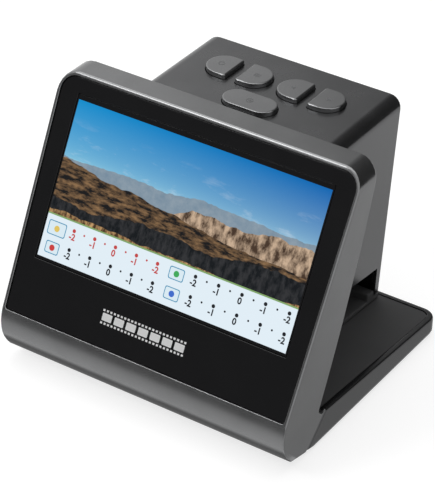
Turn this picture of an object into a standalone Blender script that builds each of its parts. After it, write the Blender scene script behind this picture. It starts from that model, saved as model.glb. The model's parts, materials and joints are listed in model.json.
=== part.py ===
"""Film negative scanner for a desk: a leaning display housing, a low base that the film holder
slides across, and a camera tower that stands over the film. Metres, +Z up, the front faces -Y.
The origin is at the table, under the middle of the scanner.
"""

from math import asin, cos, pi, radians, sin, sqrt, tan

import bmesh
import bpy
from mathutils import Matrix, Vector

# Clearances and the way down to the table
STANDOFF = 0.0008
SEAT_GAP = 0.0003
OVERRUN = 0.0100

# Display picture and the face round it, which set the housing's height and width
PICTURE_WIDTH = 0.1107
PICTURE_HEIGHT = 0.0623
PICTURE_DROP = 0.0085
PICTURE_SIDE_BORDER = 0.0085
PICTURE_FOOT_BORDER = 0.0240
PICTURE_BORDER = 0.0010
FACE_LENGTH = PICTURE_DROP + PICTURE_HEIGHT + PICTURE_FOOT_BORDER
FOOT_HALF_WIDTH = PICTURE_WIDTH / 2 + PICTURE_SIDE_BORDER
SIDE_DRAFT = radians(1.21)

# Film slot, which sets the scanner's depth
SLOT_SETBACK = 0.0393
SLOT_LENGTH = 0.0643
SLOT_REAR_MARGIN = 0.0077
SLOT_HEIGHT = 0.0139
SLOT_CORNER_RADIUS = 0.0006
FILM_TILT = radians(5.6)
FILM_BED_TOP = 0.0130
DEPTH = SLOT_SETBACK + SLOT_LENGTH + SLOT_REAR_MARGIN
NOSE_Y = -DEPTH / 2
REAR_Y = DEPTH / 2

# Display housing, side view
FRONT_LEAN = radians(28.5)
LIP_HEIGHT = 0.0233
LIP_SETBACK = 0.0015
TOP_BAND = 0.0103
SHOULDER_RADIUS = 0.0080
NOSE_RADIUS = 0.0160
CHIN_RISE = 0.0033
RAMP_RUN = 0.0210
SEAM_RUN = 0.0159
SEAM_TOP_RUN = 0.0278
ARM_FOOT_RUN = 0.0229
ARM_BOW = 0.0020
INNER_CORNER_RADIUS = 0.0022
SHELL_WALL = 0.0020
HOUSING_EDGE_ROUND = 0.0007
HEIGHT = LIP_HEIGHT + FACE_LENGTH * cos(FRONT_LEAN)
TOP_FRONT_Y = NOSE_Y + LIP_SETBACK + FACE_LENGTH * sin(FRONT_LEAN)

# Front panel and display
PANEL_RECESS = 0.0005
PANEL_THICKNESS = 0.0012
PANEL_SIDE_RIM = 0.0018
PANEL_TOP_RIM = 0.0019
PANEL_FOOT_RIM = 0.0007
PANEL_TOP_RADIUS = 0.0060
PANEL_FOOT_RADIUS = 0.0007
PANEL_LEDGE_WIDTH = 0.0024
PANEL_LEDGE_THICKNESS = 0.0010
POCKET_CHAMFER = 0.0002
GLASS_SINK = 0.0002
WINDOW_CORNER_RADIUS = 0.0004
DISPLAY_SIDE_BORDER = 0.0034
DISPLAY_END_BORDER = 0.0033
DISPLAY_THICKNESS = 0.0026
DISPLAY_CORNER_RADIUS = 0.0015
PANEL_LENGTH = FACE_LENGTH - PANEL_TOP_RIM - PANEL_FOOT_RIM
DISPLAY_WIDTH = PICTURE_WIDTH + 2 * DISPLAY_SIDE_BORDER
DISPLAY_HEIGHT = PICTURE_HEIGHT + 2 * DISPLAY_END_BORDER

# Display frame and main board behind the display
FRAME_THICKNESS = 0.0012
FRAME_BAND = 0.0070
FRAME_RIB_WIDTH = 0.0060
POST_RADIUS = 0.0022
POST_LENGTH = 0.0020
POST_INSET = 0.0060
BOARD_THICKNESS = 0.0012
BOARD_LEFT_INSET = 0.0018
BOARD_RIGHT_INSET = 0.0188
BOARD_TOP_DROP = 0.0300
BOARD_FOOT_INSET = 0.0078
BOARD_LEFT_X = BOARD_LEFT_INSET - FOOT_HALF_WIDTH
BOARD_RIGHT_X = FOOT_HALF_WIDTH - BOARD_RIGHT_INSET
BOARD_HEIGHT = FACE_LENGTH - BOARD_TOP_DROP - BOARD_FOOT_INSET
BOARD_CORNER_RADIUS = 0.0015
CHIP_SIZE = 0.0140
CHIP_THICKNESS = 0.0014
CHIP_X = 0.0060
CHIP_FOOT_INSET = 0.0388
CHIP_DROP = FACE_LENGTH - CHIP_FOOT_INSET
MEMORY_WIDTH = 0.0090
MEMORY_HEIGHT = 0.0120
MEMORY_X = 0.0240
USB_WIDTH = 0.0090
USB_HEIGHT = 0.0032
USB_LENGTH = 0.0074
USB_WALL = 0.0004
USB_TONGUE_WIDTH = 0.0066
USB_TONGUE_THICKNESS = 0.0007
USB_TONGUE_LENGTH = 0.0052
USB_FOOT_INSET = 0.0136
USB_DROP = FACE_LENGTH - USB_FOOT_INSET
CARD_WIDTH = 0.0280
CARD_HEIGHT = 0.0030
CARD_LENGTH = 0.0270
CARD_WALL = 0.0004
CARD_FLOOR = 0.0030
CARD_FOOT_INSET = 0.0343
CARD_DROP = FACE_LENGTH - CARD_FOOT_INSET
PORT_CLEARANCE = 0.0005
PORT_RADIUS = 0.0010

# Back panel of the display housing
BACK_INSET = 0.0006
BACK_THICKNESS = 0.0016

# Base
BASE_SLOPE = radians(4.1)
BASE_REAR_HEIGHT = 0.0077
BASE_CORNER_RADIUS = 0.0065
BASE_EDGE_ROUND = 0.0008
BASE_WALL = 0.0020
BASE_LIFT = 0.0004
PLATE_MARGIN = 0.0026
PLATE_GROOVE = 0.0005
PLATE_RECESS = 0.0003
PLATE_THICKNESS = 0.0014
PLATE_TUCK = 0.0028
LEDGE_WIDTH = 0.0025
LEDGE_THICKNESS = 0.0013
FRONT_RIB_SETBACK = 0.0030
FRONT_RIB_THICKNESS = 0.0020
COVER_THICKNESS = 0.0016
FOOT_RADIUS = 0.0050
FOOT_POCKET = 0.0008
FOOT_EDGE_ROUND = 0.0004
FOOT_SIDE_INSET = 0.0168
FOOT_REAR_SETBACK = 0.0110
FOOT_FRONT_SETBACK = 0.0353
SCREW_SIDE_INSET = 0.0050
SCREW_REAR_SETBACK = 0.0160
SCREW_FRONT_SETBACK = 0.0378
BOSS_RADIUS = 0.0034
SCREW_RADIUS = 0.0011
SCREW_LENGTH = 0.0040
SCREW_HEAD_RADIUS = 0.0021
SCREW_HEAD_HEIGHT = 0.0007
SCREW_SLOT_WIDTH = 0.0005
SCREW_SLOT_DEPTH = 0.0003

# Camera tower
TOWER_DROP = 0.0080
TOWER_SIDE_MARGIN = 0.0136
TOWER_DRAFT = radians(2.93)
TOWER_CROWN_RADIUS = 0.0050
TOWER_REAR_SETBACK = 0.0004
TOWER_REAR_LEAN = radians(2.3)
TOWER_EDGE_ROUND = 0.0014
TOWER_TUCK = 0.0030
TOWER_WALL = 0.0020
TOWER_TOP = HEIGHT - TOWER_DROP

# Film path
RAIL_HEIGHT = 0.0033
RAIL_WIDTH = 0.0050
BED_EDGE_ROUND = 0.0006
WINDOW_LENGTH = 0.0380
WINDOW_WIDTH = 0.0260
WINDOW_BEVEL = 0.0015
DIFFUSER_DEPTH = 0.0010
DIFFUSER_MARGIN = 0.0030
DIFFUSER_THICKNESS = 0.0015
GUIDE_THICKNESS = 0.0020

# Light unit
LIGHT_WALL = 0.0012
LIGHT_BOX_INSET = 0.0008
LIGHT_OPENING_MARGIN = 0.0050
LED_BOARD_THICKNESS = 0.0010
LED_BOARD_MARGIN = 0.0030
LED_SIZE = 0.0035
LED_HEIGHT = 0.0006
LED_COLUMNS = 3
LED_ROWS = 2
LED_PITCH = 0.0120

# Camera
HOOD_FOOT_MARGIN = 0.0020
HOOD_TOP_HALF = 0.0095
HOOD_HEIGHT = 0.0240
HOOD_WALL = 0.0012
BRACKET_THICKNESS = 0.0020
BRACKET_DEPTH = 0.0300
BRACKET_RIB_HEIGHT = 0.0040
BRACKET_RIB_THICKNESS = 0.0020
MOUNT_SIZE = 0.0200
MOUNT_FLANGE = 0.0260
MOUNT_FLANGE_THICKNESS = 0.0016
MOUNT_HEIGHT = 0.0090
MOUNT_BORE = 0.0068
BARREL_RADIUS = 0.0065
BACK_FOCUS = 0.0015
BARREL_LIP_RADIUS = 0.0078
BARREL_LIP_LENGTH = 0.0025
BARREL_THROAT = 0.0038
BARREL_CUP_DEPTH = 0.0020
SENSOR_BOARD_SIZE = 0.0260
SENSOR_BOARD_THICKNESS = 0.0012
SENSOR_SIZE = 0.0090
SENSOR_THICKNESS = 0.0012

# Keys and their switches
KEY_RISE = 0.0020
KEY_TRAVEL = 0.0006
KEY_CLEARANCE = 0.0003
KEY_EDGE_ROUND = 0.0007
KEY_PAIR_WIDTH = 0.0118
KEY_PAIR_LENGTH = 0.0142
KEY_PAIR_GAP = 0.0044
KEY_PAIR_SPACING = 0.0320
KEY_ROW_SETBACK = 0.0208
KEY_FLAT_RADIUS = 0.0011
CAPTURE_WIDTH = 0.0226
CAPTURE_LENGTH = 0.0114
CAPTURE_ROW_GAP = 0.0042
CAPTURE_SETBACK = KEY_ROW_SETBACK + (KEY_PAIR_LENGTH + CAPTURE_LENGTH) / 2 + CAPTURE_ROW_GAP
KEY_GROUP_HALF_WIDTH = (KEY_PAIR_SPACING + KEY_PAIR_GAP) / 2 + KEY_PAIR_WIDTH
TOWER_TOP_HALF_WIDTH = KEY_GROUP_HALF_WIDTH + TOWER_SIDE_MARGIN
KEY_FLANGE_WIDTH = 0.0010
KEY_FLANGE_THICKNESS = 0.0010
KEY_STEM_RADIUS = 0.0016
KEY_STEM_LENGTH = 0.0022
PLUNGER_RADIUS = 0.0016
PLUNGER_FLANGE_RADIUS = 0.0022
PLUNGER_FLANGE_THICKNESS = 0.0006
PLUNGER_RISE = 0.0016
SWITCH_SIZE = 0.0060
SWITCH_HEIGHT = 0.0034
SWITCH_LID = 0.0007
SWITCH_EDGE_ROUND = 0.0003
KEY_BOARD_THICKNESS = 0.0012
KEY_BOARD_MARGIN = 0.0065
KEY_BOSS_RADIUS = 0.0022

# Facets and welds
ARC_STEPS = 6
ROUND_SIDES = 24
WELD = 1e-7
FLAT_ANGLE = radians(0.05)
BEVEL_ANGLE = radians(35)
SHARP_ANGLE = radians(30)


def share(value):
    """A chosen fraction of a named size."""
    return value


HALF = share(0.5)
TOUCH_SHARE = share(0.5)


def half_width(z):
    """Half the width of the outer shell at a height: its sides open upwards."""
    return FOOT_HALF_WIDTH + z * tan(SIDE_DRAFT)


def front_y(z):
    """Where the leaning front plane is at a height."""
    return TOP_FRONT_Y - (HEIGHT - z) * tan(FRONT_LEAN)


def base_top_z(y):
    """Height of the base's outer top edge, which falls to the rear."""
    return BASE_REAR_HEIGHT + (REAR_Y - y) * tan(BASE_SLOPE)


def plate_top_z(y):
    """Height of the inlay plate's upper face."""
    return base_top_z(y) - PLATE_RECESS / cos(BASE_SLOPE)


def tower_half_width(z):
    """Half the width of the tower at a height: it narrows towards its foot."""
    return TOWER_TOP_HALF_WIDTH - (TOWER_TOP - z) * tan(TOWER_DRAFT)


def film_y():
    """Place along Y of the middle of the film slot and its window."""
    return NOSE_Y + SLOT_SETBACK + SLOT_LENGTH / 2


def bed_top_z(y):
    """Height of the film bed's upper face, which falls to the rear."""
    return FILM_BED_TOP + (film_y() - y) * tan(FILM_TILT)


def arc(centre, radius, start, end, steps):
    """Points on a circle between two angles, both ends included."""
    sweep = (end - start) / steps
    return [
        (centre[0] + radius * cos(start + i * sweep), centre[1] + radius * sin(start + i * sweep))
        for i in range(steps + 1)
    ]


def rounded(corners, steps=ARC_STEPS):
    """A closed outline from corners (u, v, radius); a radius of zero leaves a sharp corner."""
    points = []
    count = len(corners)
    for i, (u, v, radius) in enumerate(corners):
        corner = Vector((u, v))
        if not radius:
            points.append((u, v))
            continue
        before = (Vector(corners[i - 1][:2]) - corner).normalized()
        after = (Vector(corners[(i + 1) % count][:2]) - corner).normalized()
        half_angle = before.angle(after) / 2
        start = corner + before * (radius / tan(half_angle))
        end = corner + after * (radius / tan(half_angle))
        centre = corner + (before + after).normalized() * (radius / sin(half_angle))
        swing = (start - centre).angle_signed(end - centre)
        for step in range(steps + 1):
            turn = Matrix.Rotation(-swing * step / steps, 2)
            points.append(tuple(centre + turn @ (start - centre)))
    return distinct(points)


def distinct(points):
    """A closed outline without points that fall on the one before them."""
    return [b for a, b in zip(points[-1:] + points[:-1], points) if (Vector(b) - Vector(a)).length > WELD]


def rectangle(width, length, radius=0.0, centre=(0.0, 0.0), steps=ARC_STEPS):
    """A rectangle about a centre, with rounded corners where a radius is given."""
    u, v = centre
    a, b = width / 2, length / 2
    corners = [(u - a, v - b, radius), (u + a, v - b, radius), (u + a, v + b, radius), (u - a, v + b, radius)]
    return rounded(corners, steps)


def bow(start, end, rise, steps=8):
    """Points between two ends on an arc that rises to the right of the way from start to end."""
    a, b = Vector(start), Vector(end)
    chord = b - a
    side = Vector((chord.y, -chord.x)).normalized()
    return [
        tuple(a + chord * (i / steps) + side * (rise * 4 * (i / steps) * (1 - i / steps)))
        for i in range(1, steps)
    ]


AXES = {
    "X": Matrix(((0, 0, 1), (1, 0, 0), (0, 1, 0))).to_4x4(),
    "Y": Matrix(((1, 0, 0), (0, 0, -1), (0, 1, 0))).to_4x4(),
    "Z": Matrix.Identity(4),
}


def clean(mesh):
    """Weld a mesh, merge its flat facets and turn its faces outwards."""
    work = bmesh.new()
    work.from_mesh(mesh)
    bmesh.ops.remove_doubles(work, verts=work.verts, dist=WELD)
    bmesh.ops.dissolve_limit(work, angle_limit=FLAT_ANGLE, verts=work.verts, edges=work.edges)
    bmesh.ops.recalc_face_normals(work, faces=work.faces)
    work.to_mesh(mesh)
    work.free()


def outline_mesh(name, outline, near, far, axis):
    """A flat outline, drawn as a 2D curve and extruded from near to far along an axis."""
    curve = bpy.data.curves.new(name, "CURVE")
    curve.dimensions = "2D"
    curve.fill_mode = "BOTH"
    curve.extrude = (far - near) / 2
    spline = curve.splines.new("POLY")
    spline.points.add(len(outline) - 1)
    for point, (u, v) in zip(spline.points, outline):
        point.co = (u, v, 0, 1)
    spline.use_cyclic_u = True
    holder = bpy.data.objects.new(name, curve)
    bpy.context.scene.collection.objects.link(holder)
    graph = bpy.context.evaluated_depsgraph_get()
    mesh = bpy.data.meshes.new_from_object(holder.evaluated_get(graph))
    bpy.data.objects.remove(holder)
    bpy.data.curves.remove(curve)
    middle = (near + far) / 2
    mesh.transform(AXES[axis] @ Matrix.Translation((0, 0, -middle if axis == "Y" else middle)))
    clean(mesh)
    mesh.name = name
    return mesh


def material(name, colour, roughness, metallic=0.0):
    """A Principled material, made once for each name."""
    made = bpy.data.materials.get(name)
    if made:
        return made
    made = bpy.data.materials.new(name)
    made.use_nodes = True
    shader = made.node_tree.nodes["Principled BSDF"]
    shader.inputs["Base Color"].default_value = (*colour, 1.0)
    shader.inputs["Roughness"].default_value = roughness
    shader.inputs["Metallic"].default_value = metallic
    return made


def collection(name):
    """A collection of the scene, made once for each name."""
    made = bpy.data.collections.get(name)
    if not made:
        made = bpy.data.collections.new(name)
        bpy.context.scene.collection.children.link(made)
    return made


def add(name, mesh, parent=None, finish=None):
    """Put a mesh in the scene: as a piece where it has a finish, otherwise as a tool for cuts."""
    piece = bpy.data.objects.new(name, mesh)
    if finish:
        collection("film_scanner").objects.link(piece)
        mesh.materials.append(finish)
    else:
        collection("cutters").objects.link(piece)
        piece.hide_render = True
        piece.display_type = "WIRE"
    if parent:
        piece.parent = parent
    return piece


def prism(name, outline, near, far, axis="Z", parent=None, finish=None, holes=()):
    """An extruded outline as an object, with holes cut along the same way."""
    piece = add(name, outline_mesh(name, outline, near, far, axis), parent, finish)
    for index, hole in enumerate(holes):
        label = "cut_" + name + "_hole_" + str(index + 1)
        boolean(piece, prism(label, hole, near - OVERRUN, far + OVERRUN, axis, parent))
    return piece


def block(name, low, high, parent=None, finish=None):
    """A plain box between two corners."""
    work = bmesh.new()
    bmesh.ops.create_cube(work, size=1)
    size = Vector(high) - Vector(low)
    bmesh.ops.scale(work, vec=size, verts=work.verts)
    bmesh.ops.translate(work, vec=(Vector(low) + Vector(high)) / 2, verts=work.verts)
    mesh = bpy.data.meshes.new(name)
    work.to_mesh(mesh)
    work.free()
    return add(name, mesh, parent, finish)


def loft(name, sections, parent=None, finish=None):
    """A solid through a stack of outlines of as many points each, from the lowest height up."""
    work = bmesh.new()
    rings = [[work.verts.new((u, v, z)) for u, v in outline] for outline, z in sections]
    work.faces.new(reversed(rings[0]))
    work.faces.new(rings[-1])
    for low, high in zip(rings, rings[1:]):
        for index in range(len(low)):
            work.faces.new((low[index - 1], low[index], high[index], high[index - 1]))
    mesh = bpy.data.meshes.new(name)
    work.to_mesh(mesh)
    work.free()
    return add(name, mesh, parent, finish)


def rod(name, radius, low, high, centre=(0.0, 0.0), parent=None, finish=None, top_radius=None):
    """A round bar, or a cone where it has a second radius, standing along Z."""
    work = bmesh.new()
    ends = {"radius1": radius, "radius2": radius if top_radius is None else top_radius}
    bmesh.ops.create_cone(work, cap_ends=True, segments=ROUND_SIDES, depth=high - low, **ends)
    bmesh.ops.translate(work, vec=(centre[0], centre[1], (low + high) / 2), verts=work.verts)
    mesh = bpy.data.meshes.new(name)
    work.to_mesh(mesh)
    work.free()
    return add(name, mesh, parent, finish)


def turned(name, profile, parent=None, finish=None):
    """A profile of (radius, height) points, top to bottom, turned about Z."""
    work = bmesh.new()
    corners = [work.verts.new((radius, 0, height)) for radius, height in profile]
    for first, second in zip(corners, corners[1:]):
        work.edges.new((first, second))
    mesh = bpy.data.meshes.new(name)
    work.to_mesh(mesh)
    work.free()
    piece = add(name, mesh, parent, finish)
    screw = piece.modifiers.new("turn", "SCREW")
    screw.steps = ROUND_SIDES
    screw.render_steps = ROUND_SIDES
    screw.use_merge_vertices = True
    screw.merge_threshold = WELD
    return piece


def boolean(piece, tool, operation="DIFFERENCE"):
    """Cut, join or clip a piece with another object."""
    step = piece.modifiers.new(operation.lower() + "_" + tool.name, "BOOLEAN")
    step.operation = operation
    step.solver = "EXACT"
    step.object = tool
    return piece


def cut(piece, *tools):
    """Take each tool away from a piece."""
    for tool in tools:
        boolean(piece, tool)


def join(piece, *tools):
    """Fuse each tool to a piece."""
    for tool in tools:
        boolean(piece, tool, "UNION")


def round_edges(piece, width, segments=2):
    """Round the sharp edges that a piece has at this step."""
    step = piece.modifiers.new("round_edges", "BEVEL")
    step.width = width
    step.segments = segments
    step.limit_method = "ANGLE"
    step.angle_limit = BEVEL_ANGLE
    step.use_clamp_overlap = False
    return piece


def smooth(piece):
    """Shade the round stretches of a piece smooth and keep its edges crisp."""
    piece.data.shade_smooth()
    piece.data.set_sharp_from_angle(angle=SHARP_ANGLE)


def datum(name, location, rotation):
    """An empty that carries the pieces of one slanted group."""
    made = bpy.data.objects.new(name, None)
    made.location = location
    made.rotation_euler = rotation
    made.empty_display_size = OVERRUN
    collection("film_scanner").objects.link(made)
    return made


# Outlines that several pieces share


def shell_front_outline(inset=0.0, top=HEIGHT, radius=SHOULDER_RADIUS):
    """The housing seen from the front: drafted sides and rounded shoulders."""
    low = -OVERRUN
    foot = half_width(low) - inset
    shoulder = half_width(top) - inset
    return rounded([(-foot, low, 0), (foot, low, 0), (shoulder, top, radius), (-shoulder, top, radius)])


def tower_front_outline(inset=0.0, top=TOWER_TOP, radius=TOWER_CROWN_RADIUS):
    """The tower seen from the front: narrow foot, rounded crown."""
    low = -OVERRUN
    foot = tower_half_width(low) - inset
    crown = tower_half_width(top) - inset
    return rounded([(-foot, low, 0), (foot, low, 0), (crown, top, radius), (-crown, top, radius)])


def nose_arc(inset=0.0, steps=ARC_STEPS + 2):
    """The rolled lower front, from the lip under the panel down to the chin."""
    lip = (front_y(LIP_HEIGHT), LIP_HEIGHT)
    centre_y = NOSE_Y + NOSE_RADIUS
    centre_z = LIP_HEIGHT - sqrt(NOSE_RADIUS**2 - (lip[0] - centre_y) ** 2)
    start = pi - asin((LIP_HEIGHT - centre_z) / NOSE_RADIUS)
    end = pi + asin((centre_z - STANDOFF - CHIN_RISE) / NOSE_RADIUS)
    return arc((centre_y, centre_z), NOSE_RADIUS - inset, start, end, steps)


def underside_z(y):
    """Height of the underside: a ramp from the chin down to the flat bottom."""
    chin_y, chin_z = nose_arc()[-1]
    flat_y = NOSE_Y + RAMP_RUN
    return STANDOFF + max(flat_y - y, 0) * (chin_z - STANDOFF) / (flat_y - chin_y)


def seam_foot():
    """Where the seam between display housing and base meets the underside."""
    y = NOSE_Y + SEAM_RUN
    return (y, underside_z(y))


def seam_top():
    """Where the seam starts, at the rear end of the inner corner."""
    y = NOSE_Y + SEAM_TOP_RUN
    return (y, base_top_z(y))


def arm_edge(inset=0.0):
    """The bowed rear edge of the display housing, from the inner corner up to the top band."""
    foot_y = NOSE_Y + ARM_FOOT_RUN
    foot = (foot_y - inset, base_top_z(foot_y))
    head = (TOP_FRONT_Y + TOP_BAND - inset, HEIGHT)
    return foot, head


# Display housing


def housing_side_outline():
    """The display housing seen from the side."""
    foot, head = arm_edge()
    corner = rounded([(*seam_top(), 0), (*foot, INNER_CORNER_RADIUS), (*head, 0)])
    points = [(TOP_FRONT_Y, HEIGHT)]
    points += nose_arc()
    points += [seam_foot()]
    points += corner[:-1]
    points += bow(corner[-2], head, ARM_BOW)
    points += [head]
    return points


def housing_hollow():
    """The room inside the display housing, open to the rear and to the base."""
    depth = PANEL_RECESS + PANEL_THICKNESS + SEAT_GAP + PANEL_LEDGE_THICKNESS
    shift = depth / cos(FRONT_LEAN)
    top = HEIGHT - SHELL_WALL
    nose = nose_arc(SHELL_WALL)[1:]
    lip = nose[0][1] + SHELL_WALL * HALF
    end_y = REAR_Y + OVERRUN
    foot_y, foot_z = seam_foot()
    points = [(front_y(top) + shift, top), (front_y(lip) + shift, lip)]
    points += nose
    points += [(foot_y, foot_z + SHELL_WALL), (end_y, foot_z + SHELL_WALL), (end_y, top)]
    hollow = prism("cut_housing_room", points, -half_width(HEIGHT), half_width(HEIGHT), "X")
    inner = shell_front_outline(SHELL_WALL, top, SHOULDER_RADIUS - SHELL_WALL)
    clip = prism("clip_housing_room", inner, NOSE_Y - OVERRUN, REAR_Y + 2 * OVERRUN, "Y")
    boolean(hollow, clip, "INTERSECT")
    return hollow


def panel_outline(grow=0.0):
    """The front panel's outline on the leaning plane; its sides follow the housing's draft."""
    top = -PANEL_TOP_RIM
    foot = top - PANEL_LENGTH
    top_half = half_width(HEIGHT + top * cos(FRONT_LEAN)) - PANEL_SIDE_RIM + grow
    foot_half = half_width(HEIGHT + foot * cos(FRONT_LEAN)) - PANEL_SIDE_RIM + grow
    head = (top + grow, PANEL_TOP_RADIUS + grow)
    tail = (foot - grow, max(PANEL_FOOT_RADIUS + grow, 0))
    return rounded([(-foot_half, *tail), (foot_half, *tail), (top_half, *head), (-top_half, *head)])


def window_outline(grow=0.0):
    """The display window: the picture and its black border."""
    width = PICTURE_WIDTH + 2 * (PICTURE_BORDER + grow)
    height = PICTURE_HEIGHT + 2 * (PICTURE_BORDER + grow)
    middle = -PICTURE_DROP - PICTURE_HEIGHT / 2
    return rectangle(width, height, WINDOW_CORNER_RADIUS, (0, middle), steps=2)


def display_back():
    """Depth of the display module's rear face behind the front plane."""
    return PANEL_RECESS + PANEL_THICKNESS + SEAT_GAP + DISPLAY_THICKNESS


def board_front():
    """Depth of the main board's front face behind the front plane."""
    return display_back() + SEAT_GAP + FRAME_THICKNESS + POST_LENGTH + SEAT_GAP


def front_shell(leaning, grey):
    """Outer moulding of the display housing: arms, top band, rim, lip and rolled nose."""
    half = half_width(HEIGHT) + OVERRUN
    shell = prism("front_shell", housing_side_outline(), -half, half, "X", finish=grey)
    outline = prism("clip_housing", shell_front_outline(), NOSE_Y - OVERRUN, REAR_Y, "Y")
    boolean(shell, outline, "INTERSECT")
    round_edges(shell, HOUSING_EDGE_ROUND)
    floor = PANEL_RECESS + PANEL_THICKNESS + SEAT_GAP
    wall, mouth = panel_outline(SEAT_GAP), panel_outline(SEAT_GAP + 2 * POCKET_CHAMFER)
    sections = [(wall, -floor), (wall, -POCKET_CHAMFER), (mouth, POCKET_CHAMFER), (mouth, OVERRUN)]
    pocket = loft("cut_panel_pocket", sections, leaning)
    opening = prism("cut_panel_opening", panel_outline(-PANEL_LEDGE_WIDTH), -OVERRUN, OVERRUN, parent=leaning)
    cut(shell, housing_hollow(), pocket, opening)
    for port in port_cutters(leaning):
        cut(shell, port)
    return shell


def port_cutters(leaning):
    """Cut-outs for the plug and the memory card in the left side wall."""
    middle = board_front() + BOARD_THICKNESS + SEAT_GAP
    tools = []
    for name, drop, width, height in (
        ("usb", USB_DROP, USB_WIDTH, USB_HEIGHT),
        ("card", CARD_DROP, CARD_WIDTH, CARD_HEIGHT),
    ):
        size = (width + 2 * PORT_CLEARANCE, height + 2 * PORT_CLEARANCE)
        hole = rectangle(*size, PORT_RADIUS, (-drop, -middle - height / 2))
        low, high = -half_width(HEIGHT) - OVERRUN, BOARD_LEFT_X - SEAT_GAP
        tools.append(prism("cut_" + name + "_port", hole, low, high, "X", leaning))
    return tools


def front_panel(leaning, gloss):
    """Black panel over the display, with the window that the display's glass fills."""
    panel = prism(
        "front_panel",
        panel_outline(),
        -PANEL_RECESS - PANEL_THICKNESS,
        -PANEL_RECESS,
        parent=leaning,
        finish=gloss,
        holes=[window_outline()],
    )
    return panel


def display_module(leaning, glass):
    """Display: a flat case behind the panel and the glass that stands up into its window."""
    middle = -PICTURE_DROP - PICTURE_HEIGHT / 2
    front = PANEL_RECESS + PANEL_THICKNESS + SEAT_GAP
    case = rectangle(DISPLAY_WIDTH, DISPLAY_HEIGHT, DISPLAY_CORNER_RADIUS, (0, middle), steps=2)
    module = prism("display_module", case, -display_back(), -front, parent=leaning, finish=glass)
    face = prism(
        "join_display_glass",
        window_outline(-SEAT_GAP),
        -front - DISPLAY_THICKNESS * HALF,
        -PANEL_RECESS - GLASS_SINK,
        parent=leaning,
    )
    join(module, face)
    return module


def display_frame(leaning, black):
    """Frame that presses the display forward and carries the main board on four posts."""
    middle = -PICTURE_DROP - PICTURE_HEIGHT / 2
    back = display_back() + SEAT_GAP + FRAME_THICKNESS
    front = back - FRAME_THICKNESS
    outer = rectangle(DISPLAY_WIDTH, DISPLAY_HEIGHT, DISPLAY_CORNER_RADIUS, (0, middle), steps=2)
    opening_width = (DISPLAY_WIDTH - 2 * FRAME_BAND - FRAME_RIB_WIDTH) / 2
    opening_height = DISPLAY_HEIGHT - 2 * FRAME_BAND
    shift = (opening_width + FRAME_RIB_WIDTH) / 2
    holes = [
        rectangle(opening_width, opening_height, DISPLAY_CORNER_RADIUS, (side * shift, middle), steps=2)
        for side in (-1, 1)
    ]
    frame = prism("display_frame", outer, -back, -front, parent=leaning, finish=black, holes=holes)
    for index, (x, drop) in enumerate(post_places()):
        post = rod(
            "join_post_" + str(index + 1),
            POST_RADIUS,
            -board_front() + SEAT_GAP,
            -back + FRAME_THICKNESS * HALF,
            (x, -drop),
            leaning,
        )
        join(frame, post)
    return frame


def post_places():
    """Places of the posts between display frame and main board, as (x, drop)."""
    lower = PICTURE_DROP + (PICTURE_HEIGHT + DISPLAY_HEIGHT) / 2 - FRAME_BAND * HALF
    upper = BOARD_TOP_DROP + POST_INSET
    sides = ((FRAME_BAND - DISPLAY_WIDTH) / 2, 0)
    return [(x, drop) for x in sides for drop in (upper, lower)]


def main_board(leaning, board_green):
    """Main circuit board, parallel to the display."""
    width = BOARD_RIGHT_X - BOARD_LEFT_X
    centre = ((BOARD_RIGHT_X + BOARD_LEFT_X) / 2, -BOARD_TOP_DROP - BOARD_HEIGHT / 2)
    outline = rectangle(width, BOARD_HEIGHT, BOARD_CORNER_RADIUS, centre, steps=3)
    front = board_front()
    return prism("main_board", outline, -front - BOARD_THICKNESS, -front, parent=leaning, finish=board_green)


def board_chips(leaning, chip_black):
    """Processor and memory on the rear of the main board."""
    front = board_front() + BOARD_THICKNESS + SEAT_GAP
    span = (-front - CHIP_THICKNESS, -front)
    processor = rectangle(CHIP_SIZE, CHIP_SIZE, centre=(CHIP_X, -CHIP_DROP))
    prism("processor", processor, *span, parent=leaning, finish=chip_black)
    memory = rectangle(MEMORY_WIDTH, MEMORY_HEIGHT, centre=(MEMORY_X, -CHIP_DROP))
    prism("memory_chip", memory, *span, parent=leaning, finish=chip_black)


def port_socket(name, drop, width, height, length, wall, floor, leaning, steel):
    """A metal socket on the rear of the main board, open towards the left side wall."""
    front = board_front() + BOARD_THICKNESS + SEAT_GAP
    low = (BOARD_LEFT_X, -drop - width / 2, -front - height)
    high = (BOARD_LEFT_X + length, -drop + width / 2, -front)
    socket = block(name, low, high, leaning, steel)
    inner_low = (BOARD_LEFT_X - OVERRUN, low[1] + wall, low[2] + wall)
    inner_high = (high[0] - floor, high[1] - wall, high[2] - wall)
    cut(socket, block("cut_" + name + "_mouth", inner_low, inner_high, leaning))
    return socket


def usb_socket(leaning, steel):
    """Power and data socket with its contact tongue."""
    sizes = (USB_DROP, USB_WIDTH, USB_HEIGHT, USB_LENGTH, USB_WALL, USB_LENGTH - USB_TONGUE_LENGTH)
    socket = port_socket("usb_socket", *sizes, leaning, steel)
    middle = -board_front() - BOARD_THICKNESS - SEAT_GAP - USB_HEIGHT / 2
    tongue = block(
        "join_usb_tongue",
        (
            BOARD_LEFT_X + USB_WALL,
            -USB_DROP - USB_TONGUE_WIDTH / 2,
            middle - USB_TONGUE_THICKNESS / 2,
        ),
        (
            BOARD_LEFT_X + USB_LENGTH - USB_WALL,
            -USB_DROP + USB_TONGUE_WIDTH / 2,
            middle + USB_TONGUE_THICKNESS / 2,
        ),
        leaning,
    )
    join(socket, tongue)


def card_socket(leaning, steel):
    """Memory card socket."""
    sizes = (CARD_DROP, CARD_WIDTH, CARD_HEIGHT, CARD_LENGTH, CARD_WALL, CARD_FLOOR)
    port_socket("card_socket", *sizes, leaning, steel)


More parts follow.
